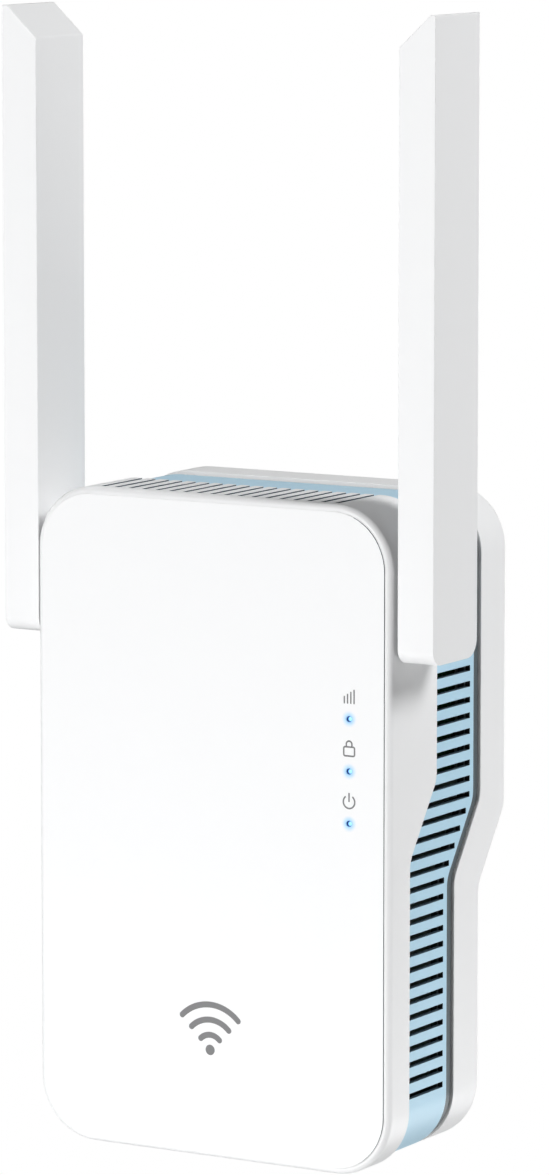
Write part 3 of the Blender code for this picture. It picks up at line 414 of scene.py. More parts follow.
def stepped_tube(inset, trim, thickness, front_joint, rear_joint):
    """A length of the housing's wall between two stepped joints, each a depth and a bend."""
    start, end = FRONT_Y, BACK_Y
    shape = housing_block(inset, start, end, trim)
    open_end(shape, start)
    open_end(shape, end)
    add_levels(shape, (front_joint[1], rear_joint[1]))
    near, far = points_at(shape, start), points_at(shape, end)
    follow_joint(near, *front_joint)
    follow_joint(far, *rear_joint)
    made = piece("tube", shape)
    thicken(made, thickness)
    return made


def depth_rod(x, height, front, back, radius, segments=32):
    """A rod along Y at a height above the bottom, between two depths behind the front face."""
    z = BOTTOM_Z + height
    return rod((x, FRONT_Y + front, z), (x, FRONT_Y + back, z), radius, segments)


# ---- Housing mouldings ----
def front_moulding():
    """The front cover: a raised panel, a rounded rim, top vents, screw posts and hinge holes."""
    face_y = FRONT_Y + PRINT_HEIGHT
    rim_y = face_y + PLATE_STEP
    shape = housing_block(0.0, rim_y, BACK_Y)
    open_end(shape, BACK_Y)
    round_edges(shape, edges_round(shape, rim_y), FRONT_FILLET, 6)
    add_levels(shape, (COVER_BEND,))
    follow_joint(points_at(shape, BACK_Y), COVER_RIM, COVER_BEND)
    made = piece("front_moulding", shape)
    thicken(made, WALL)
    vents = []
    for number in range(TOP_VENTS):
        x = (number - (TOP_VENTS - 1) / 2) * VENT_PITCH
        low = (x - VENT_WIDTH / 2, FRONT_Y + TOP_VENT_START, TOP_Z - WALL - MM)
        vents.append(block(low, (x + VENT_WIDTH / 2, COVER_RIM + MM, TOP_Z + MM)))
    carve(made, vents)
    posts, bores = [], []
    for side in (-1, 1):
        for height in POST_HEIGHTS:
            end = post_end(height)
            posts.append(depth_rod(side * POST_X, height, WALL / 2, end, POST_RADIUS))
            start = end - POST_BORE_LENGTH
            bores.append(depth_rod(side * POST_X, height, start, end + MM, POST_BORE))
        for height in STANDOFF_HEIGHTS:
            end = BOARD_FRONT - FRONT_Y - GAP
            x = side * STANDOFF_X
            posts.append(depth_rod(x, height, WALL / 2, end, STANDOFF_RADIUS))
            bores.append(depth_rod(x, height, WALL + MM, end + MM, STANDOFF_BORE))
    carve(made, posts, "UNION")
    carve(made, bores)
    holes = []
    for side in (-1, 1):
        reach = [(side * (SIDE_X + offset), HINGE.y, HINGE.z) for offset in (-5 * MM, 5 * MM)]
        holes.append(rod(*reach, BARREL_RADIUS + BARREL_CLEARANCE, 64))
    carve(made, holes)
    soften(made)
    carve(made, [housing_block(FRONT_FILLET, face_y, face_y + 0.5 * WALL)], "UNION")
    heights = LED_HEIGHTS.values()
    carve(made, [depth_rod(LED_X, height, -MM, WALL + MM, LED_HOLE) for height in heights])
    soften(made, 0.03 * MM, 1)
    return made


def vent_moulding():
    """The blue band: slots up both sides, and the port's, button's and reset's openings below."""
    front, rear = (BAND_FRONT, COVER_BEND), (BAND_REAR, BAND_BEND)
    made = stepped_tube(LAYER_INSET, BAND_TRIM, LAYER_WALL, front, rear)
    made.name = "vent_moulding"
    vents = []
    for side in (-1, 1):
        for number in range(SIDE_VENTS):
            z = BOTTOM_Z + LOWEST_SIDE_VENT + number * VENT_PITCH
            front = BAND_FRONT - stepped(z, COVER_BEND) - SIDE_VENT_OVERRUN
            back = BAND_REAR - stepped(z, BAND_BEND) - SIDE_VENT_MARGIN
            x_low, x_high = sorted((side * (SIDE_X - WALL - MM), side * (SIDE_X + MM)))
            low = (x_low, front, z - VENT_WIDTH / 2)
            vents.append(block(low, (x_high, back, z + VENT_WIDTH / 2)))
    carve(made, vents)
    low, high = BOTTOM_Z - MM, BOTTOM_Z + WALL + MM
    centre = (PORT_X, FRONT_Y + PORT_DEPTH, (low + high) / 2)
    half = (PORT_HALF_X + PORT_MARGIN, PORT_HALF_Y + PORT_MARGIN, (high - low) / 2)
    openings = [block_about(centre, half)]
    openings.append(button_shape(BUTTON_SLACK, low, high))
    button_y = FRONT_Y + BUTTON_DEPTH
    openings.append(rod((RESET_X, button_y, low), (RESET_X, button_y, high), RESET_HOLE))
    carve(made, openings)
    soften(made)
    return made


def button_shape(grow, low, high):
    """The pairing button's round-ended shape between two heights, grown by a margin."""
    half_x, half_y = BUTTON_HALF.x + grow, BUTTON_HALF.y + grow
    y = FRONT_Y + BUTTON_DEPTH
    corners = [(sx * half_x, sy * half_y) for sx, sy in ((-1, -1), (1, -1), (1, 1), (-1, 1))]
    shape = flat_face([(BUTTON_X + dx, y + dy, low) for dx, dy in corners])
    round_corner(shape, shape.verts[:], half_y * 0.999, 12)
    return extruded(shape, (0.0, 0.0, high - low))


def seam_moulding():
    """The ring in the joint, recessed and coloured dark as painted shade for the joint's gap, with
    the hidden flange that lies behind both its neighbours.
    """
    front, rear = (RING_FRONT, BAND_BEND), (RING_REAR, RING_BEND)
    made = stepped_tube(RING_INSET, RING_TRIM, WALL - RING_INSET + GAP, front, rear)
    made.name = "seam_moulding"
    reach = 1.0 * MM
    front, rear = (RING_FRONT - reach, BAND_BEND), (RING_REAR + reach, RING_BEND)
    flange = stepped_tube(WALL + 0.1 * MM, (0.0, 0.0), 1.3 * MM, front, rear)
    inner = bmesh.new()
    inner.from_mesh(flange.data)
    bpy.data.objects.remove(flange, do_unlink=True)
    carve(made, [inner], "UNION")
    soften(made)
    return made


def rear_moulding():
    """The rear shell: screw wells in their bosses, the label's recess and the plug's hole."""
    shape = housing_block(LAYER_INSET, FRONT_Y, BACK_Y, REAR_TRIM)
    open_end(shape, FRONT_Y)
    add_levels(shape, (RING_BEND, BACK_BEND))
    rim, back = points_at(shape, FRONT_Y), points_at(shape, BACK_Y)
    follow_joint(rim, REAR_FRONT, RING_BEND)
    edge = edges_round(shape, BACK_Y)
    follow_joint(back, BACK_Y, BACK_BEND)
    round_edges(shape, edge, BACK_FILLET, 6)
    made = piece("rear_moulding", shape)
    thicken(made, LAYER_WALL)
    bosses, wells = [], []
    for side in (-1, 1):
        for height in POST_HEIGHTS:
            floor = BACK_Y - stepped(BOTTOM_Z + height, BACK_BEND) - WELL_DEPTH
            x, z = side * POST_X, BOTTOM_Z + height
            top = floor + WELL_DEPTH - MM
            bosses.append(rod((x, floor - WELL_FLOOR, z), (x, top, z), BOSS_RADIUS, 48))
            through, mouth = -2 * WELL_FLOOR, WELL_DEPTH + MM
            profile = [(through, 0.0), (through, SCREW_HOLE), (0.0, SCREW_HOLE)]
            profile += [(0.0, WELL_RADIUS), (mouth, WELL_RADIUS), (mouth, 0.0)]
            wells.append(turned(profile, (x, floor, z), (0, 1, 0)))
    carve(made, bosses, "UNION")
    label_low, label_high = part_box("rating_label")
    margin = Vector((GAP, GAP, GAP))
    wells.append(block(label_low - margin * 0.67, label_high + margin + Vector((0, MM, 0))))
    ends = [(0.0, BACK_Y + offset, 0.0) for offset in (-10 * MM, 10 * MM)]
    wells.append(rod(*ends, PLUG_RADIUS + GAP, 96))
    carve(made, wells)
    soften(made)
    return made


def post_end(height):
    """The depth at which a screw post stops, just short of the rear moulding's boss."""
    back = BACK_Y - stepped(BOTTOM_Z + height, BACK_BEND) - FRONT_Y
    return back - WELL_DEPTH - WELL_FLOOR - GAP


# ---- Antennas ----
def blade_blank(side):
    """A blade's solid: round lower corners, a slanted top and softly rounded edges."""
    front, back, low, high = BLADE_LOW.y, BLADE_HIGH.y, BLADE_LOW.z, BLADE_HIGH.z
    x_in, x_out = side * (SIDE_X + BLADE_GAP), side * BLADE_HIGH.x
    corners = ((front, low), (back, low), (back, high), (front, high))
    shape = flat_face([(x_in, y, z) for y, z in corners])
    for y, radius in ((front, BLADE_FRONT_RADIUS), (back, BLADE_REAR_RADIUS)):
        here = Vector((x_in, y, low))
        corner = [point for point in shape.verts if (point.co - here).length < 0.01 * MM]
        round_corner(shape, corner, radius, 12)
    extruded(shape, (x_out - x_in, 0.0, 0.0))
    bmesh.ops.bisect_plane(
        shape,
        geom=shape.verts[:] + shape.edges[:] + shape.faces[:],
        plane_co=(x_in, 0.0, high - BLADE_CUT_HEIGHT),
        plane_no=(-side * BLADE_CUT_HEIGHT, 0.0, BLADE_CUT_WIDTH),
        clear_outer=True,
    )
    bmesh.ops.holes_fill(shape, edges=[edge for edge in shape.edges if edge.is_boundary])
    bmesh.ops.recalc_face_normals(shape, faces=shape.faces)
    sharp = [edge for edge in shape.edges if edge.calc_face_angle(0.0) > math.radians(35.0)]
    round_edges(shape, sharp, BLADE_FILLET, 4)
    return shape


def side_block(side, x_range, y_range, z_range):
    x_low, x_high = sorted(side * x for x in x_range)
    return block((x_low, y_range[0], z_range[0]), (x_high, y_range[1], z_range[1]))


def blade_moulding(word, side):
    """One antenna's shell: the blade, its open rear and the barrel that it turns on."""
    made = piece(f"antenna_{word}_blade", blade_blank(side))
    slack = 0.15 * MM
    x_range = (STRIP_LOW.x - slack, STRIP_HIGH.x + slack)
    y_range = (BLADE_LOW.y + BLADE_WALL, BLADE_HIGH.y + MM)
    z_range = (STRIP_LOW.z - slack, STRIP_HIGH.z + slack)
    carve(made, [side_block(side, x_range, y_range, z_range)])
    hinge = (side * HINGE.x, HINGE.y, HINGE.z)
    root = -BLADE_GAP - BLADE_WALL / 2
    end = SIDE_X - BARREL_INNER_END
    profile = [(root, BARREL_BORE), (root, BARREL_RADIUS), (BARREL_GROOVE[0], BARREL_RADIUS)]
    profile += [(along, BARREL_RADIUS - BARREL_GROOVE_DEPTH) for along in BARREL_GROOVE]
    profile += [(BARREL_GROOVE[1], BARREL_RADIUS), (end, BARREL_RADIUS), (end, BARREL_BORE)]
    carve(made, [turned(profile, hinge, (-side, 0, 0), 64)], "UNION")
    bore = [(side * x, HINGE.y, HINGE.z) for x in (SIDE_X - MM, SIDE_X + BLADE_GAP + 2 * MM)]
    carve(made, [rod(*bore, BARREL_BORE)])
    soften(made, 0.08 * MM)
    return made


def blade_strip(word, side):
    """The strip that closes an antenna's rear."""
    ranges = zip(STRIP_LOW, STRIP_HIGH)
    made = piece(f"antenna_{word}_strip", side_block(side, *ranges))
    soften(made, 0.2 * MM, 3)
    return made


# ---- Plug and screws ----
def plug_moulding():
    """The round plug base: hollow, flanged, grooved, with the two pins' bosses inside."""
    start, end = PLUG_LOW.y, PLUG_HIGH.y
    flange = PLUG_HIGH.x
    step = -WALL - GAP
    inner = PLUG_RADIUS - PLUG_WALL
    floor = end - PLUG_WALL
    edge = PLUG_EDGE
    profile = [(floor, 0.0), (floor, inner), (start, inner), (start, flange), (step, flange)]
    profile += [(step, PLUG_RADIUS), (end - edge, PLUG_RADIUS)]
    for number in range(1, 7):
        turn = math.radians(90.0 * number / 6)
        along = end - edge + edge * math.sin(turn)
        profile.append((along, PLUG_RADIUS - edge + edge * math.cos(turn)))
    profile.append((end, 0.0))
    made = piece("plug_moulding", turned(profile, (0, 0, 0), (0, 1, 0), 128))
    pin_places = (-PIN_X, PIN_X)
    bosses = [rod((x, 4 * MM, 0), (x, end - MM, 0), PIN_BOSS_RADIUS, 48) for x in pin_places]
    carve(made, bosses, "UNION")
    bore = PIN_RADIUS + PIN_SLACK
    cuts = [rod((x, start - MM, 0), (x, end + MM, 0), bore, 48) for x in pin_places]
    y_low, y_high = GROOVE_DEPTHS
    for side in (-1, 1):
        floor, half = SIDE_GROOVE
        cuts.append(side_block(side, (floor, GROOVE_OUTSIDE), GROOVE_DEPTHS, (-half, half)))
        floor, half = TOP_GROOVE
        z_low, z_high = sorted((side * floor, side * GROOVE_OUTSIDE))
        cuts.append(block((-half, y_low, z_low), (half, y_high, z_high)))
    carve(made, cuts)
    soften(made, 0.2 * MM, 3)
    return made


def plug_pin(name, x):
    low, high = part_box(name)
    tip = PIN_RADIUS * 0.9
    profile = [(low.y, 0.0), (low.y, PIN_RADIUS - 0.4 * MM), (low.y + 0.6 * MM, PIN_RADIUS)]
    for number in range(9):
        turn = math.radians(90.0 * number / 8)
        profile.append((high.y - tip + tip * math.sin(turn), PIN_RADIUS * math.cos(turn)))
    profile[-1] = (high.y, 0.0)
    return piece(f"{name}_metal", turned(profile, (x, 0, 0), (0, 1, 0), 64))


def cross_head_screw(number):
    """A pan-head screw with a cross recess and a threaded shank."""
    low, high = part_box(f"case_screw_{number}")
    x, z = (low.x + high.x) / 2, (low.z + high.z) / 2
    head_radius = (high.x - low.x) / 2
    head, shank = 1.8 * MM, 1.15 * MM
    seat = high.y - head
    profile = [(low.y, 0.0), (low.y + 0.8 * MM, shank * 0.5)]
    turns = 12
    pitch = (seat - low.y - 1.6 * MM) / turns
    for turn in range(turns):
        along = low.y + 1.2 * MM + turn * pitch
        profile += [(along, shank * 0.78), (along + pitch / 2, shank)]
    profile += [(seat, shank * 0.8), (seat, head_radius), (seat + 0.5 * MM, head_radius)]
    for step in range(1, 7):
        angle = math.radians(90.0 * step / 6)
        along = seat + 0.5 * MM + (head - 0.5 * MM) * math.sin(angle)
        profile.append((along, head_radius * math.cos(angle)))
    profile[-1] = (high.y, 0.0)
    made = piece(f"case_screw_{number}_metal", turned(profile, (x, 0, z), (0, 1, 0), 48))
    long, short, sunk = 1.5 * MM, 0.32 * MM, 1.1 * MM
    for half_x, half_z in ((long, short), (short, long)):
        carve(made, [block_about((x, high.y, z), (half_x, sunk, half_z))])
    return made


# ---- Network port and buttons ----
def jack_moulding():
    """The port's black housing: a mouth for the plug, and a narrower one for the plug's latch."""
    made = piece("jack_moulding", block(JACK_LOW, JACK_HIGH))
    middle, mouth_end = FRONT_Y + PORT_DEPTH, JACK_LOW.z - MM
    shoulder, latch_half = 1.7 * MM, 3.0 * MM
    mouth_low = (PORT_X - PORT_HALF_X, middle - PORT_HALF_Y, mouth_end)
    mouth_high = (PORT_X + PORT_HALF_X, middle + PORT_HALF_Y - shoulder, BOTTOM_Z + 16 * MM)
    carve(made, [block(mouth_low, mouth_high)])
    latch_low = (PORT_X - latch_half, middle, mouth_end)
    latch_high = (PORT_X + latch_half, middle + PORT_HALF_Y, BOTTOM_Z + 14 * MM)
    carve(made, [block(latch_low, latch_high)])
    soften(made, 0.2 * MM)
    return made


def jack_contacts():
    """The port's eight sprung wires, which slope across its mouth."""
    wires = []
    front = FRONT_Y + PORT_DEPTH - PORT_HALF_Y
    for number in range(8):
        x = PORT_X + (number - 3.5) * CONTACT_PITCH
        low = Vector((x, front + 0.25 * MM, BOTTOM_Z + 5.5 * MM))
        bend = Vector((x, front + 0.35 * MM, BOTTOM_Z + 6.5 * MM))
        high = Vector((x, front + 1.9 * MM, BOTTOM_Z + 15.4 * MM))
        wires.append(rod(low, bend, CONTACT_RADIUS, 10))
        wires.append(rod(bend, high, CONTACT_RADIUS, 10))
    return piece("jack_contacts", joined(wires))


def button_moulding():
    """The pairing button: a softly rounded cap, a collar that stops it and a stem behind."""
    face = BUTTON_LOW.z
    collar = BOTTOM_Z + WALL + GAP
    shape = button_shape(0.0, face, collar + 0.5 * MM)
    rim = [e for e in shape.edges if all(abs(v.co.z - face) < 0.001 * MM for v in e.verts)]
    round_edges(shape, rim, 0.5 * MM, 4)
    made = piece("pairing_button_cap", shape)
    carve(made, [button_shape(BUTTON_COLLAR, collar, collar + MM)], "UNION")
    ends = [(BUTTON_X, FRONT_Y + BUTTON_DEPTH, z) for z in (collar + 0.5 * MM, BUTTON_HIGH.z)]
    carve(made, [rod(*ends, BUTTON_STEM)], "UNION")
    soften(made, 0.08 * MM)
    return made


# ---- Rating label ----
def label_sheet():
    low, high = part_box("rating_label")
    shape = upright_face(low, high)
    round_corner(shape, shape.verts[:], LABEL_CORNER, 8)
    extruded(shape, (0.0, high.y - low.y, 0.0))
    return piece("label_sheet", shape)


# ---- Indicators and printed marks ----
def guide_moulding():
    """The clear bar behind the indicators and its three pins, which end flush in the front."""
    low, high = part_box("light_guide")
    bar_front = FRONT_Y + WALL + GAP
    bar_back = bar_front + GUIDE_THICKNESS
    bar = block((low.x, bar_front, low.z), (high.x, bar_back, high.z))
    made = piece("indicator_guide", bar)
    pins = []
    radius, front = LED_HOLE - 0.04 * MM, low.y
    for height in LED_HEIGHTS.values():
        profile = [(high.y, 0.0), (high.y, radius), (front + 0.12 * MM, radius)]
        profile += [(front + 0.03 * MM, radius * 0.8), (front, radius * 0.4), (front, 0.0)]
        profile = [(along - high.y, distance) for along, distance in reversed(profile)]
        pins.append(turned(profile, (LED_X, high.y, BOTTOM_Z + height), (0, 1, 0), 32))
    carve(made, pins, "UNION")
    return made


def ink(shape):
    """Give a flat mark in the front plane its thickness, down into the moulding."""
    return extruded(shape, (0.0, 2 * PRINT_HEIGHT, 0.0))


def ink_block(x, height, half_x, half_z):
    centre = (x, FRONT_Y + PRINT_HEIGHT, BOTTOM_Z + height)
    return block_about(centre, (half_x, PRINT_HEIGHT, half_z))


def ink_arc(x, height, radius, width, first, sweep, steps=24):
    """Part of a ring, from an angle anticlockwise from +X through a sweep, both in degrees."""
    centre = Vector((x, FRONT_Y, BOTTOM_Z + height))
    shape = bmesh.new()
    turn = Matrix.Rotation(-math.radians(first), 3, "Y")
    reach = (radius - width / 2, radius + width / 2)
    line = [shape.verts.new(centre + turn @ Vector((along, 0.0, 0.0))) for along in reach]
    edge = shape.edges.new(line)
    bmesh.ops.spin(
        shape,
        geom=line + [edge],
        cent=centre,
        axis=(0.0, -1.0, 0.0),
        dvec=(0.0, 0.0, 0.0),
        angle=math.radians(sweep),
        steps=steps,
        use_merge=sweep >= 360.0,
    )
    bmesh.ops.remove_doubles(shape, verts=shape.verts, dist=0.0001 * MM)
    return ink(shape)


def ink_dot(x, height, radius, sunk=0.0):
    centre = Vector((x, FRONT_Y + sunk, BOTTOM_Z + height))
    shape = bmesh.new()
    turn = Matrix.Rotation(math.radians(90.0), 4, "X")
    place = Matrix.Translation(centre) @ turn
    bmesh.ops.create_circle(shape, cap_ends=True, segments=32, radius=radius, matrix=place)
    return ink(shape)


def signal_mark():
    """Four bars that rise to the right."""
    bars = []
    foot = LED_HEIGHTS["signal"] + 2.88 * MM
    for number in range(4):
        tall = (1.4 + 0.43 * number) * MM
        x = LED_X + (number - 1.5) * 0.69 * MM
        bars.append(ink_block(x, foot + tall / 2, 0.14 * MM, tall / 2))
    return piece("signal_mark", joined(bars))


def padlock_mark():
    """A padlock: a rounded frame and a shackle above it."""
    middle = LED_HEIGHTS["pairing"] + 3.75 * MM
    half_x, half_z, corner = 1.15 * MM, 0.85 * MM, 0.3 * MM
    parts = []
    for side in (-1, 1):
        parts.append(ink_block(LED_X + side * half_x, middle, LINE_WIDTH / 2, half_z - corner))
        parts.append(ink_block(LED_X, middle + side * half_z, half_x - corner, LINE_WIDTH / 2))
    for number, (side_x, side_z) in enumerate(((1, 1), (-1, 1), (-1, -1), (1, -1))):
        x, z = LED_X + side_x * (half_x - corner), middle + side_z * (half_z - corner)
        parts.append(ink_arc(x, z, corner, LINE_WIDTH, 90.0 * number, 90.0, 6))
    shackle, leg = 0.6 * MM, 0.175 * MM
    foot = middle + half_z + LINE_WIDTH / 2 + 2 * leg
    parts.append(ink_arc(LED_X, foot, shackle, LINE_WIDTH, 0.0, 180.0))
    for side in (-1, 1):
        parts.append(ink_block(LED_X + side * shackle, foot - leg, LINE_WIDTH / 2, leg))
    return piece("padlock_mark", joined(parts))


def power_mark():
    """A broken ring with a bar through its gap."""
    middle = LED_HEIGHTS["power"] + 4.1 * MM
    parts = [ink_arc(LED_X, middle, 1.22 * MM, LINE_WIDTH, 125.0, 290.0, 40)]
    parts.append(ink_block(LED_X, middle + 0.85 * MM, LINE_WIDTH / 2, 0.85 * MM))
    return piece("power_mark", joined(parts))


def wireless_mark():
    """A dot under three widening arcs."""
    x, foot = -0.2 * MM, 20.8 * MM
    stroke, spacing = 1.15 * MM, 2.9 * MM
    sunk = 0.004 * MM
    parts = [ink_dot(x, foot, 1.0 * MM)]
    for number in range(1, 4):
        reach = spacing * number
        parts.append(ink_arc(x, foot, reach, stroke, 45.0, 90.0, 14 * number))
        for angle in (45.0, 135.0):
            turn = math.radians(angle)
            end = (x + reach * math.cos(turn), foot + reach * math.sin(turn))
            parts.append(ink_dot(*end, stroke / 2 - sunk, sunk))
    made = piece("wireless_mark", parts[0])
    for part in parts[1:]:
        carve(made, [part], "UNION")
    return made


# ---- Shader effects shared by the materials ----
def new_group(name, inputs):
    """An empty finish with its named sockets, and its group's input and output nodes."""
    group = bpy.data.node_groups.new(name, "ShaderNodeTree")
    for socket, value in inputs.items():
        kind = "NodeSocketFloat" if isinstance(value, float) else "NodeSocketColor"
        made = group.interface.new_socket(name=socket, in_out="INPUT", socket_type=kind)
        made.default_value = value
    for socket, kind in (("Colour", "Color"), ("Roughness", "Float"), ("Grain", "Float")):
        kind = f"NodeSocket{kind}"
        group.interface.new_socket(name=socket, in_out="OUTPUT", socket_type=kind)
    return group, group.nodes.new("NodeGroupInput"), group.nodes.new("NodeGroupOutput")


def give(tree, socket, value):
    """Link a socket from another one, or set it to a constant."""
    if isinstance(value, bpy.types.NodeSocket):
        tree.links.new(value, socket)
    else:
        socket.default_value = value


def add_node(tree, kind, inputs):
    """A shader node and its inputs, each given as another socket or as a constant."""
    made = tree.nodes.new(kind)
    for socket, value in inputs.items():
        give(tree, made.inputs[socket], value)
    return made


def object_place(tree):
    return tree.nodes.new("ShaderNodeTexCoord").outputs["Object"]


def noise(tree, place, scale, detail):
    inputs = {"Vector": place, "Scale": scale, "Detail": detail}
    return add_node(tree, "ShaderNodeTexNoise", inputs).outputs["Fac"]


def spread(tree, source, low, high):
    """Turn a 0 to 1 value into one between two numbers or sockets."""
    inputs = {"Value": source, "To Min": low, "To Max": high}
    return add_node(tree, "ShaderNodeMapRange", inputs).outputs["Result"]


def combined(tree, operation, first, second):
    made = add_node(tree, "ShaderNodeMath", {0: first, 1: second})
    made.operation = operation
    return made.outputs[0]


def mixed(tree, factor, first, second):
    made = tree.nodes.new("ShaderNodeMix")
    made.data_type = "RGBA"
    for socket, value in (("Factor", factor), (6, first), (7, second)):
        give(tree, made.inputs[socket], value)
    return made.outputs[2]


def give_results(group, given, result, tone, gloss, grain):
    """Set a finish's outputs from what changes its tone, its gloss and its relief."""
    limits = given.outputs["Low Roughness"], given.outputs["High Roughness"]
    colours = given.outputs["Colour"], given.outputs["Deep Colour"]
    give(group, result.inputs["Colour"], mixed(group, tone, *colours))
    give(group, result.inputs["Roughness"], spread(group, gloss, *limits))
    give(group, result.inputs["Grain"], grain)


def make_moulded_finish():
    """Fine spark-eroded grain, with slow changes of tone and of gloss across a moulding."""
    inputs = {
        "Colour": (0.8, 0.8, 0.8, 1.0),
        "Deep Colour": (0.7, 0.7, 0.7, 1.0),
        "Grain Scale": 2500.0,
        "Low Roughness": 0.4,
        "High Roughness": 0.5,
    }
    group, given, result = new_group("moulded finish", inputs)
    clouds = noise(group, object_place(group), 60.0, 3.0)
    grain = noise(group, object_place(group), given.outputs["Grain Scale"], 3.0)
    both = combined(group, "MULTIPLY", clouds, grain)
    give_results(group, given, result, clouds, both, grain)
    return group


def make_brushed_finish():
    """Fine drawn lines along Y with a changing gloss, for sheet metal and turned pins."""
    inputs = {
        "Colour": (0.7, 0.7, 0.7, 1.0),
        "Deep Colour": (0.6, 0.6, 0.6, 1.0),
        "Low Roughness": 0.25,
        "High Roughness": 0.4,
    }
    group, given, result = new_group("brushed finish", inputs)
    stretch = {"Vector": object_place(group), "Scale": (3000.0, 90.0, 3000.0)}
    stretched = add_node(group, "ShaderNodeMapping", stretch).outputs["Vector"]
    lines = noise(group, stretched, 1.0, 4.0)
    give_results(group, given, result, lines, lines, lines)
    return group


# ---- Materials ----
MOULDED = make_moulded_finish()
BRUSHED = make_brushed_finish()
WHITE = (0.88, 0.885, 0.89)
WHITE_DEEP = (0.865, 0.87, 0.877)
# Painted light: the blue tint and its reach around each indicator hole on the white front, a painted
# glow.
PAINTED_GLOW = (0.3, 0.64, 1.0, 1.0)
PAINTED_GLOW_REACH = 1.1 * MM
# A lit tip's bright core fades between two distances, and is set a little off its centre as a painted
# highlight on the domed tip.
PAINTED_HIGHLIGHT_OFFSET = Vector((0.26 * MM, 0.0, 0.04 * MM))
CORE_REACH = (0.2 * MM, 0.62 * MM)


def opened(material):
    """A material's node tree and its shader."""
    return material.node_tree, material.node_tree.nodes["Principled BSDF"]


def finish(name, group, values, bump, bump_depth, metallic=0.0):
    """A material whose shader takes colour, roughness and grain from a shared effect."""
    made = bpy.data.materials.new(name)
    made.use_nodes = True
    tree, shader = opened(made)
    effect = tree.nodes.new("ShaderNodeGroup")
    effect.node_tree = group
    for socket, value in values.items():
        effect.inputs[socket].default_value = value
    grain = effect.outputs["Grain"]
    relief = {"Strength": bump, "Distance": bump_depth, "Height": grain}
    normal = add_node(tree, "ShaderNodeBump", relief).outputs["Normal"]
    give(tree, shader.inputs["Base Color"], effect.outputs["Colour"])
    give(tree, shader.inputs["Roughness"], effect.outputs["Roughness"])
    give(tree, shader.inputs["Normal"], normal)
    give(tree, shader.inputs["Metallic"], metallic)
    return made


def plastic(name, colour, deep, roughness, bump=0.12, grain=2500.0):
    values = {
        "Colour": (*colour, 1.0),
        "Deep Colour": (*deep, 1.0),
        "Grain Scale": grain,
        "Low Roughness": roughness - 0.08,
        "High Roughness": roughness + 0.12,
    }
    return finish(name, MOULDED, values, bump, 0.02 * MM)


def metal(name, colour, deep, roughness):
    values = {
        "Colour": (*colour, 1.0),
        "Deep Colour": (*deep, 1.0),
        "Low Roughness": roughness - 0.06,
        "High Roughness": roughness + 0.1,
    }
    return finish(name, BRUSHED, values, 0.15, 0.01 * MM, 1.0)


def glow_about(tree, place, near, far):
    """1 up to the near distance from a place, 0 past the far one, with a smooth change between."""
    span = add_node(tree, "ShaderNodeVectorMath", {0: object_place(tree), 1: place})
    span.operation = "DISTANCE"
    inputs = {"Value": span.outputs["Value"], "From Min": near, "From Max": far}
    made = add_node(tree, "ShaderNodeMapRange", inputs | {"To Min": 1.0, "To Max": 0.0})
    made.interpolation_type = "SMOOTHSTEP"
    return made.outputs["Result"]


def led_places():
    return [Vector((LED_X, FRONT_Y, BOTTOM_Z + height)) for height in LED_HEIGHTS.values()]


def front_plastic_with_painted_glow():
    """The housing's white plastic, with the indicators' blue glow painted into its colour around each
    hole as painted light.
    """
    made = plastic("satin white front with painted LED glow", WHITE, WHITE_DEEP, 0.42, 0.1)
    tree, shader = opened(made)
    colour = shader.inputs["Base Color"].links[0].from_socket
    # Painted light: the base colour turns blue near each indicator hole, a painted glow standing in
    # for the lit indicator's light on the face.
    for place in led_places():
        glow = glow_about(tree, place, 0.5 * LED_HOLE, LED_HOLE + PAINTED_GLOW_REACH)
        colour = mixed(tree, glow, colour, PAINTED_GLOW)
    give(tree, shader.inputs["Base Color"], colour)
    return made


def lit_guide():
    """Clear plastic whose pins end in a lit blue core, the indicator's own light, placed off centre
    as a painted highlight and ringed by a dark navy rim of painted shade.
    """
    made = plastic("indicator light", (0.6, 0.75, 0.9), (0.5, 0.65, 0.85), 0.2, 0.05)
    tree, shader = opened(made)
    core, rim = (0.25, 0.6, 1.0, 1.0), (0.0, 0.018, 0.12, 1.0)
    clear, dark = (0.2, 0.45, 0.9, 1.0), (0.005, 0.01, 0.04, 1.0)
    glows = [glow_about(tree, place + PAINTED_HIGHLIGHT_OFFSET, *CORE_REACH) for place in led_places()]
    near_tip = glows[0]
    for glow in glows[1:]:
        near_tip = combined(tree, "MAXIMUM", near_tip, glow)
    # Painted highlight and painted shade: the bright core sits off the tip's centre, and the rim is
    # dark navy in both emission and base colour.
    give(tree, shader.inputs["Emission Color"], mixed(tree, near_tip, rim, core))
    give(tree, shader.inputs["Base Color"], mixed(tree, near_tip, dark, clear))
    give(tree, shader.inputs["Emission Strength"], 1.1)
    return made


def board_green():
    """Solder mask over the faint lines of copper tracks."""
    made = plastic("green solder mask", (0.02, 0.16, 0.06), (0.015, 0.12, 0.045), 0.3, 0.1)
    tree, shader = opened(made)
    colour = shader.inputs["Base Color"].links[0].from_socket
    turn = {"Vector": object_place(tree), "Rotation": (math.radians(90.0), 0.0, 0.0)}
    turned_place = add_node(tree, "ShaderNodeMapping", turn).outputs["Vector"]
    lines = {"Vector": turned_place, "Scale": 420.0, "Mortar Size": 0.06}
    tracks = add_node(tree, "ShaderNodeTexBrick", lines).outputs["Fac"]
    colour = mixed(tree, tracks, colour, (0.05, 0.26, 0.1, 1.0))
    give(tree, shader.inputs["Base Color"], colour)
    return made


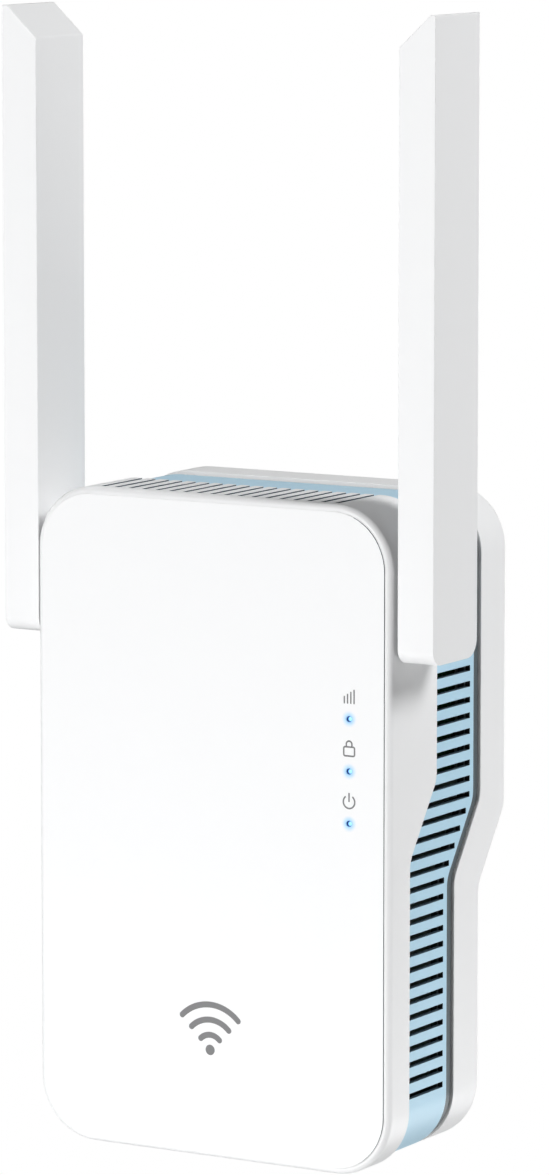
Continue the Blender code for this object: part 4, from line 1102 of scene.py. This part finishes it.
def wound_copper():
    """Enamelled copper wire laid turn by turn."""
    made = metal("enamelled copper", (0.72, 0.3, 0.12), (0.5, 0.18, 0.06), 0.35)
    tree = made.node_tree
    inputs = {"Vector": object_place(tree), "Scale": 500.0}
    turns = add_node(tree, "ShaderNodeTexWave", inputs)
    turns.bands_direction = "Z"
    relief = next(node for node in tree.nodes if node.type == "BUMP")
    values = {"Strength": 0.8, "Distance": 0.2 * MM, "Height": turns.outputs["Fac"]}
    for socket, value in values.items():
        give(tree, relief.inputs[socket], value)
    return made


def make_finishes():
    """Every material by its slot's name; a plastic has two tones, a roughness and a grain."""
    plastics = {
        "white_plastic": ("satin white", WHITE, WHITE_DEEP, 0.42, 0.1),
        "blue_plastic": ("sky blue plastic", (0.49, 0.72, 0.86), (0.47, 0.7, 0.845), 0.42, 0.1),
        # Painted shade: the seam ring's dark slate colour stands in for the shade in the recessed
        # joint.
        "grey_plastic": ("slate grey plastic with painted seam shade", (0.1, 0.125, 0.135), (0.085, 0.108, 0.118), 0.4, 0.12),
        "black_plastic": ("black plastic", (0.018, 0.018, 0.02), (0.012, 0.012, 0.013), 0.45, 0.2),
        # Painted shade: near-black for the housing's inner faces, and slate for the vent walls and
        # the front panel's side edges.
        "inside": ("painted inner shade", (0.012, 0.013, 0.015), (0.008, 0.009, 0.01), 0.6, 0.2),
        "vent_wall": ("painted shade on vent walls", (0.05, 0.085, 0.115), (0.04, 0.07, 0.095), 0.5, 0.1),
        "led_lens": ("lamp lens", (0.85, 0.85, 0.7), (0.8, 0.78, 0.6), 0.2, 0.05),
        "thermal_pad": ("soft grey pad", (0.35, 0.4, 0.5), (0.3, 0.34, 0.44), 0.75, 0.5, 900.0),
        "transformer_tape": ("yellow tape", (0.75, 0.6, 0.12), (0.66, 0.5, 0.08), 0.4, 0.1),
        "insulation_film": ("smoked film", (0.2, 0.18, 0.12), (0.16, 0.14, 0.1), 0.25, 0.05),
        "label_silver": ("silver label", (0.6, 0.61, 0.63), (0.52, 0.53, 0.55), 0.4, 0.15),
        "ink": ("grey ink", (0.18, 0.18, 0.185), (0.15, 0.15, 0.155), 0.5, 0.1),
        "mark": ("light grey ink", (0.21, 0.21, 0.215), (0.18, 0.18, 0.185), 0.5, 0.1),
    }
    metals = {
        "steel": ("bright steel", (0.62, 0.63, 0.64), (0.5, 0.51, 0.52), 0.3),
        "nickel": ("nickel plate", (0.72, 0.7, 0.66), (0.62, 0.6, 0.56), 0.2),
        "aluminium": ("drawn aluminium", (0.8, 0.81, 0.82), (0.7, 0.71, 0.72), 0.38),
        "gold": ("gold plate", (0.95, 0.72, 0.3), (0.85, 0.6, 0.22), 0.2),
    }
    made = {slot: plastic(*values) for slot, values in plastics.items()}
    made |= {slot: metal(*values) for slot, values in metals.items()}
    made["front"] = front_plastic_with_painted_glow()
    made["clear_plastic"] = lit_guide()
    made["circuit_board"] = board_green()
    made["copper_winding"] = wound_copper()
    return made


# ---- Camera, floor and light ----
CAMERA_LENS = 182.32
CAMERA_PLACE = Vector((0.57292, -0.98420, 0.15852))
CAMERA_VIEW = Vector((-0.50712, 0.85096, -0.13675))
FLOOR_Z = -0.34
FLOOR_RADIUS = 12.0
FLOOR_TONE = (0.5, 0.5, 0.5, 1.0)
BRIGHT_AMBIENT = 0.28
DIM_AMBIENT = 0.02
SHADED_SIDE = (0.7, -0.7, 0.0)


def make_camera():
    data = bpy.data.cameras.new("camera")
    data.lens = CAMERA_LENS
    data.sensor_width = 36.0
    data.clip_end = 50.0
    made = bpy.data.objects.new("camera", data)
    made.location = CAMERA_PLACE
    made.rotation_euler = CAMERA_VIEW.to_track_quat("-Z", "Y").to_euler()
    bpy.context.scene.collection.objects.link(made)
    bpy.context.scene.camera = made


def softbox(name, azimuth, elevation, distance, size, power, aim=Vector((0.0, -0.02, -0.03))):
    """A large soft light; its azimuth is measured from the front, positive to the right."""
    turn, rise = math.radians(azimuth), math.radians(elevation)
    level = math.cos(rise)
    away = Vector((math.sin(turn) * level, -math.cos(turn) * level, math.sin(rise)))
    data = bpy.data.lights.new(name, "AREA")
    data.shape = "DISK"
    data.size = size
    data.energy = power
    made = bpy.data.objects.new(name, data)
    made.location = aim + away * distance
    made.rotation_euler = (-away).to_track_quat("-Z", "Y").to_euler()
    made.visible_camera = False
    bpy.context.scene.collection.objects.link(made)


def make_floor():
    """A plain floor, white to the camera, pale to the light and clear from below."""
    shape = bmesh.new()
    bmesh.ops.create_circle(shape, cap_ends=True, segments=96, radius=FLOOR_RADIUS)
    bmesh.ops.translate(shape, verts=shape.verts, vec=(0.0, 0.0, FLOOR_Z))
    made = piece("floor", shape)
    paint = bpy.data.materials.new("pale floor")
    paint.use_nodes = True
    tree, shader = opened(paint)
    give(tree, shader.inputs["Base Color"], FLOOR_TONE)
    give(tree, shader.inputs["Roughness"], 0.8)
    camera_ray = tree.nodes.new("ShaderNodeLightPath").outputs["Is Camera Ray"]
    white = tree.nodes.new("ShaderNodeEmission").outputs["Emission"]
    below = tree.nodes.new("ShaderNodeNewGeometry").outputs["Backfacing"]
    clear = tree.nodes.new("ShaderNodeBsdfTransparent").outputs["BSDF"]
    look = shader.outputs["BSDF"]
    for factor, other in ((camera_ray, white), (below, clear)):
        either = add_node(tree, "ShaderNodeMixShader", {"Fac": factor, 1: look, 2: other})
        look = either.outputs["Shader"]
    give(tree, tree.nodes["Material Output"].inputs["Surface"], look)
    made.data.materials.append(paint)


def make_surroundings():
    """A white studio behind the object, and a softer grey one that lights it."""
    world = bpy.data.worlds.new("studio")
    bpy.context.scene.world = world
    world.use_nodes = True
    tree = world.node_tree
    background = tree.nodes["Background"]
    camera_ray = tree.nodes.new("ShaderNodeLightPath").outputs["Is Camera Ray"]
    direction = tree.nodes.new("ShaderNodeTexCoord").outputs["Generated"]
    toward = add_node(tree, "ShaderNodeVectorMath", {0: direction, 1: SHADED_SIDE})
    toward.operation = "DOT_PRODUCT"
    ambient = {"From Min": -1.0, "To Min": BRIGHT_AMBIENT, "To Max": DIM_AMBIENT}
    dimmed = add_node(tree, "ShaderNodeMapRange", ambient)
    give(tree, dimmed.inputs["Value"], toward.outputs["Value"])
    level = spread(tree, camera_ray, dimmed.outputs["Result"], 1.0)
    give(tree, background.inputs["Strength"], level)
    give(tree, background.inputs["Color"], (1.0, 1.0, 1.0, 1.0))


def light_studio():
    make_floor()
    make_surroundings()
    softbox("key_light", -10.0, 15.0, 2.0, 1.2, 29.5, Vector((0.06, -0.02, 0.04)))
    softbox("side_light", 118.0, 40.0, 1.0, 0.4, 7.5)
    softbox("rear_light", 132.0, -22.0, 0.3, 0.2, 0.44, Vector((0.0, -0.02, -0.135)))
    softbox("low_light", -8.0, -42.0, 0.42, 0.3, 0.8)


# ---- Assembly ----
def dress(made, material, body, slot, *nodes):
    """Give a piece its finish and the body that it moves with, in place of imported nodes."""
    made.data.materials.clear()
    made.data.materials.append(material)
    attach(made, body)
    if nodes:
        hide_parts(*nodes)


def below_outline(point):
    """How far a point lies in from the housing's rounded outline, seen from the front."""
    middle = (TOP_Z + BOTTOM_Z) / 2
    across = abs(point.x) - (SIDE_X - CORNER_RADIUS)
    up = abs(point.z - middle) - ((TOP_Z - BOTTOM_Z) / 2 - CORNER_RADIUS)
    if across > 0.0 and up > 0.0:
        return CORNER_RADIUS - math.hypot(across, up)
    return CORNER_RADIUS - max(across, up)


def paint_inner_shade(made, inside, vent_wall, wall):
    """Paint shade on a housing wall's inner faces, its vents' walls and the front panel's side edges,
    with dark finishes that stand in for the shade inside the housing, in the vents and along the
    panel's edge.
    """
    made.data.materials.append(inside)
    made.data.materials.append(vent_wall)
    for face in made.data.polygons:
        points = [made.data.vertices[number].co for number in face.vertices]
        deep = max(below_outline(point) for point in points)
        behind_front = min(point.y for point in points) > FRONT_Y + 0.95 * WALL
        level = abs(face.center.x) > SIDE_X - WALL and abs(face.normal.z) > 0.9
        upright = face.center.z > TOP_Z - WALL and abs(face.normal.x) > 0.9
        in_front = face.center.y < FRONT_Y + PLATE_STEP
        plate_edge = in_front and abs(face.normal.x) > 0.4
        # Painted shade: the panel's side edges and the vents' walls take the dark slate finish, and
        # the inner faces take the near-black one.
        if plate_edge or (behind_front and deep > 0.3 * WALL and (level or upright)):
            face.material_index = 2
        elif behind_front and deep > 0.95 * wall:
            face.material_index = 1


def build_housing(finishes):
    cover = front_moulding()
    dress(cover, finishes["front"], "housing", "white_plastic", "front_cover")
    paint_inner_shade(cover, finishes["inside"], finishes["vent_wall"], WALL)
    band = vent_moulding()
    dress(band, finishes["blue_plastic"], "housing", "blue_plastic", "vent_band")
    paint_inner_shade(band, finishes["inside"], finishes["vent_wall"], LAYER_INSET + LAYER_WALL)
    plain = (
        (seam_moulding, "grey_plastic", "seam_ring"),
        (rear_moulding, "white_plastic", "rear_shell"),
        (label_sheet, "label_silver", "rating_label"),
        (guide_moulding, "clear_plastic", "light_guide"),
    )
    for mould, slot, node in plain:
        dress(mould(), finishes[slot], "housing", slot, node)
    for mark in (signal_mark(), padlock_mark(), power_mark()):
        dress(mark, finishes["ink"], "housing", "grey_plastic")
    dress(wireless_mark(), finishes["mark"], "housing", "grey_plastic")


def build_antennas(finishes):
    for word, side in (("left", -1), ("right", 1)):
        body = f"antenna_{word}"
        blade = blade_moulding(word, side)
        dress(blade, finishes["white_plastic"], body, "white_plastic", f"antenna_{word}_shell")
        strip = blade_strip(word, side)
        node = f"antenna_{word}_rear_strip"
        dress(strip, finishes["white_plastic"], body, "white_plastic", node)


def build_plug_and_port(finishes):
    dress(plug_moulding(), finishes["white_plastic"], "housing", "white_plastic", "plug_base")
    for name, x in (("pin_live", -PIN_X), ("pin_neutral", PIN_X)):
        dress(plug_pin(name, x), finishes["nickel"], "housing", "nickel", name)
    for number in range(1, 5):
        screw = cross_head_screw(number)
        dress(screw, finishes["steel"], "housing", "steel", f"case_screw_{number}")
    dress(jack_moulding(), finishes["black_plastic"], "housing", "black_plastic", "network_jack")
    dress(jack_contacts(), finishes["gold"], "housing", "nickel")
    button = button_moulding()
    dress(button, finishes["white_plastic"], "pairing_button", "white_plastic", "pairing_button")


def finish_packed_nodes(finishes):
    """Give every node that stays its own finish, by the name of its packed one."""
    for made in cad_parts.values():
        for place in made.material_slots:
            if place.material and place.material.name in finishes:
                place.material = finishes[place.material.name]


def main():
    bpy.context.scene.view_settings.view_transform = "Standard"
    make_camera()
    light_studio()
    finishes = make_finishes()
    finish_packed_nodes(finishes)
    build_housing(finishes)
    build_antennas(finishes)
    build_plug_and_port(finishes)


main()
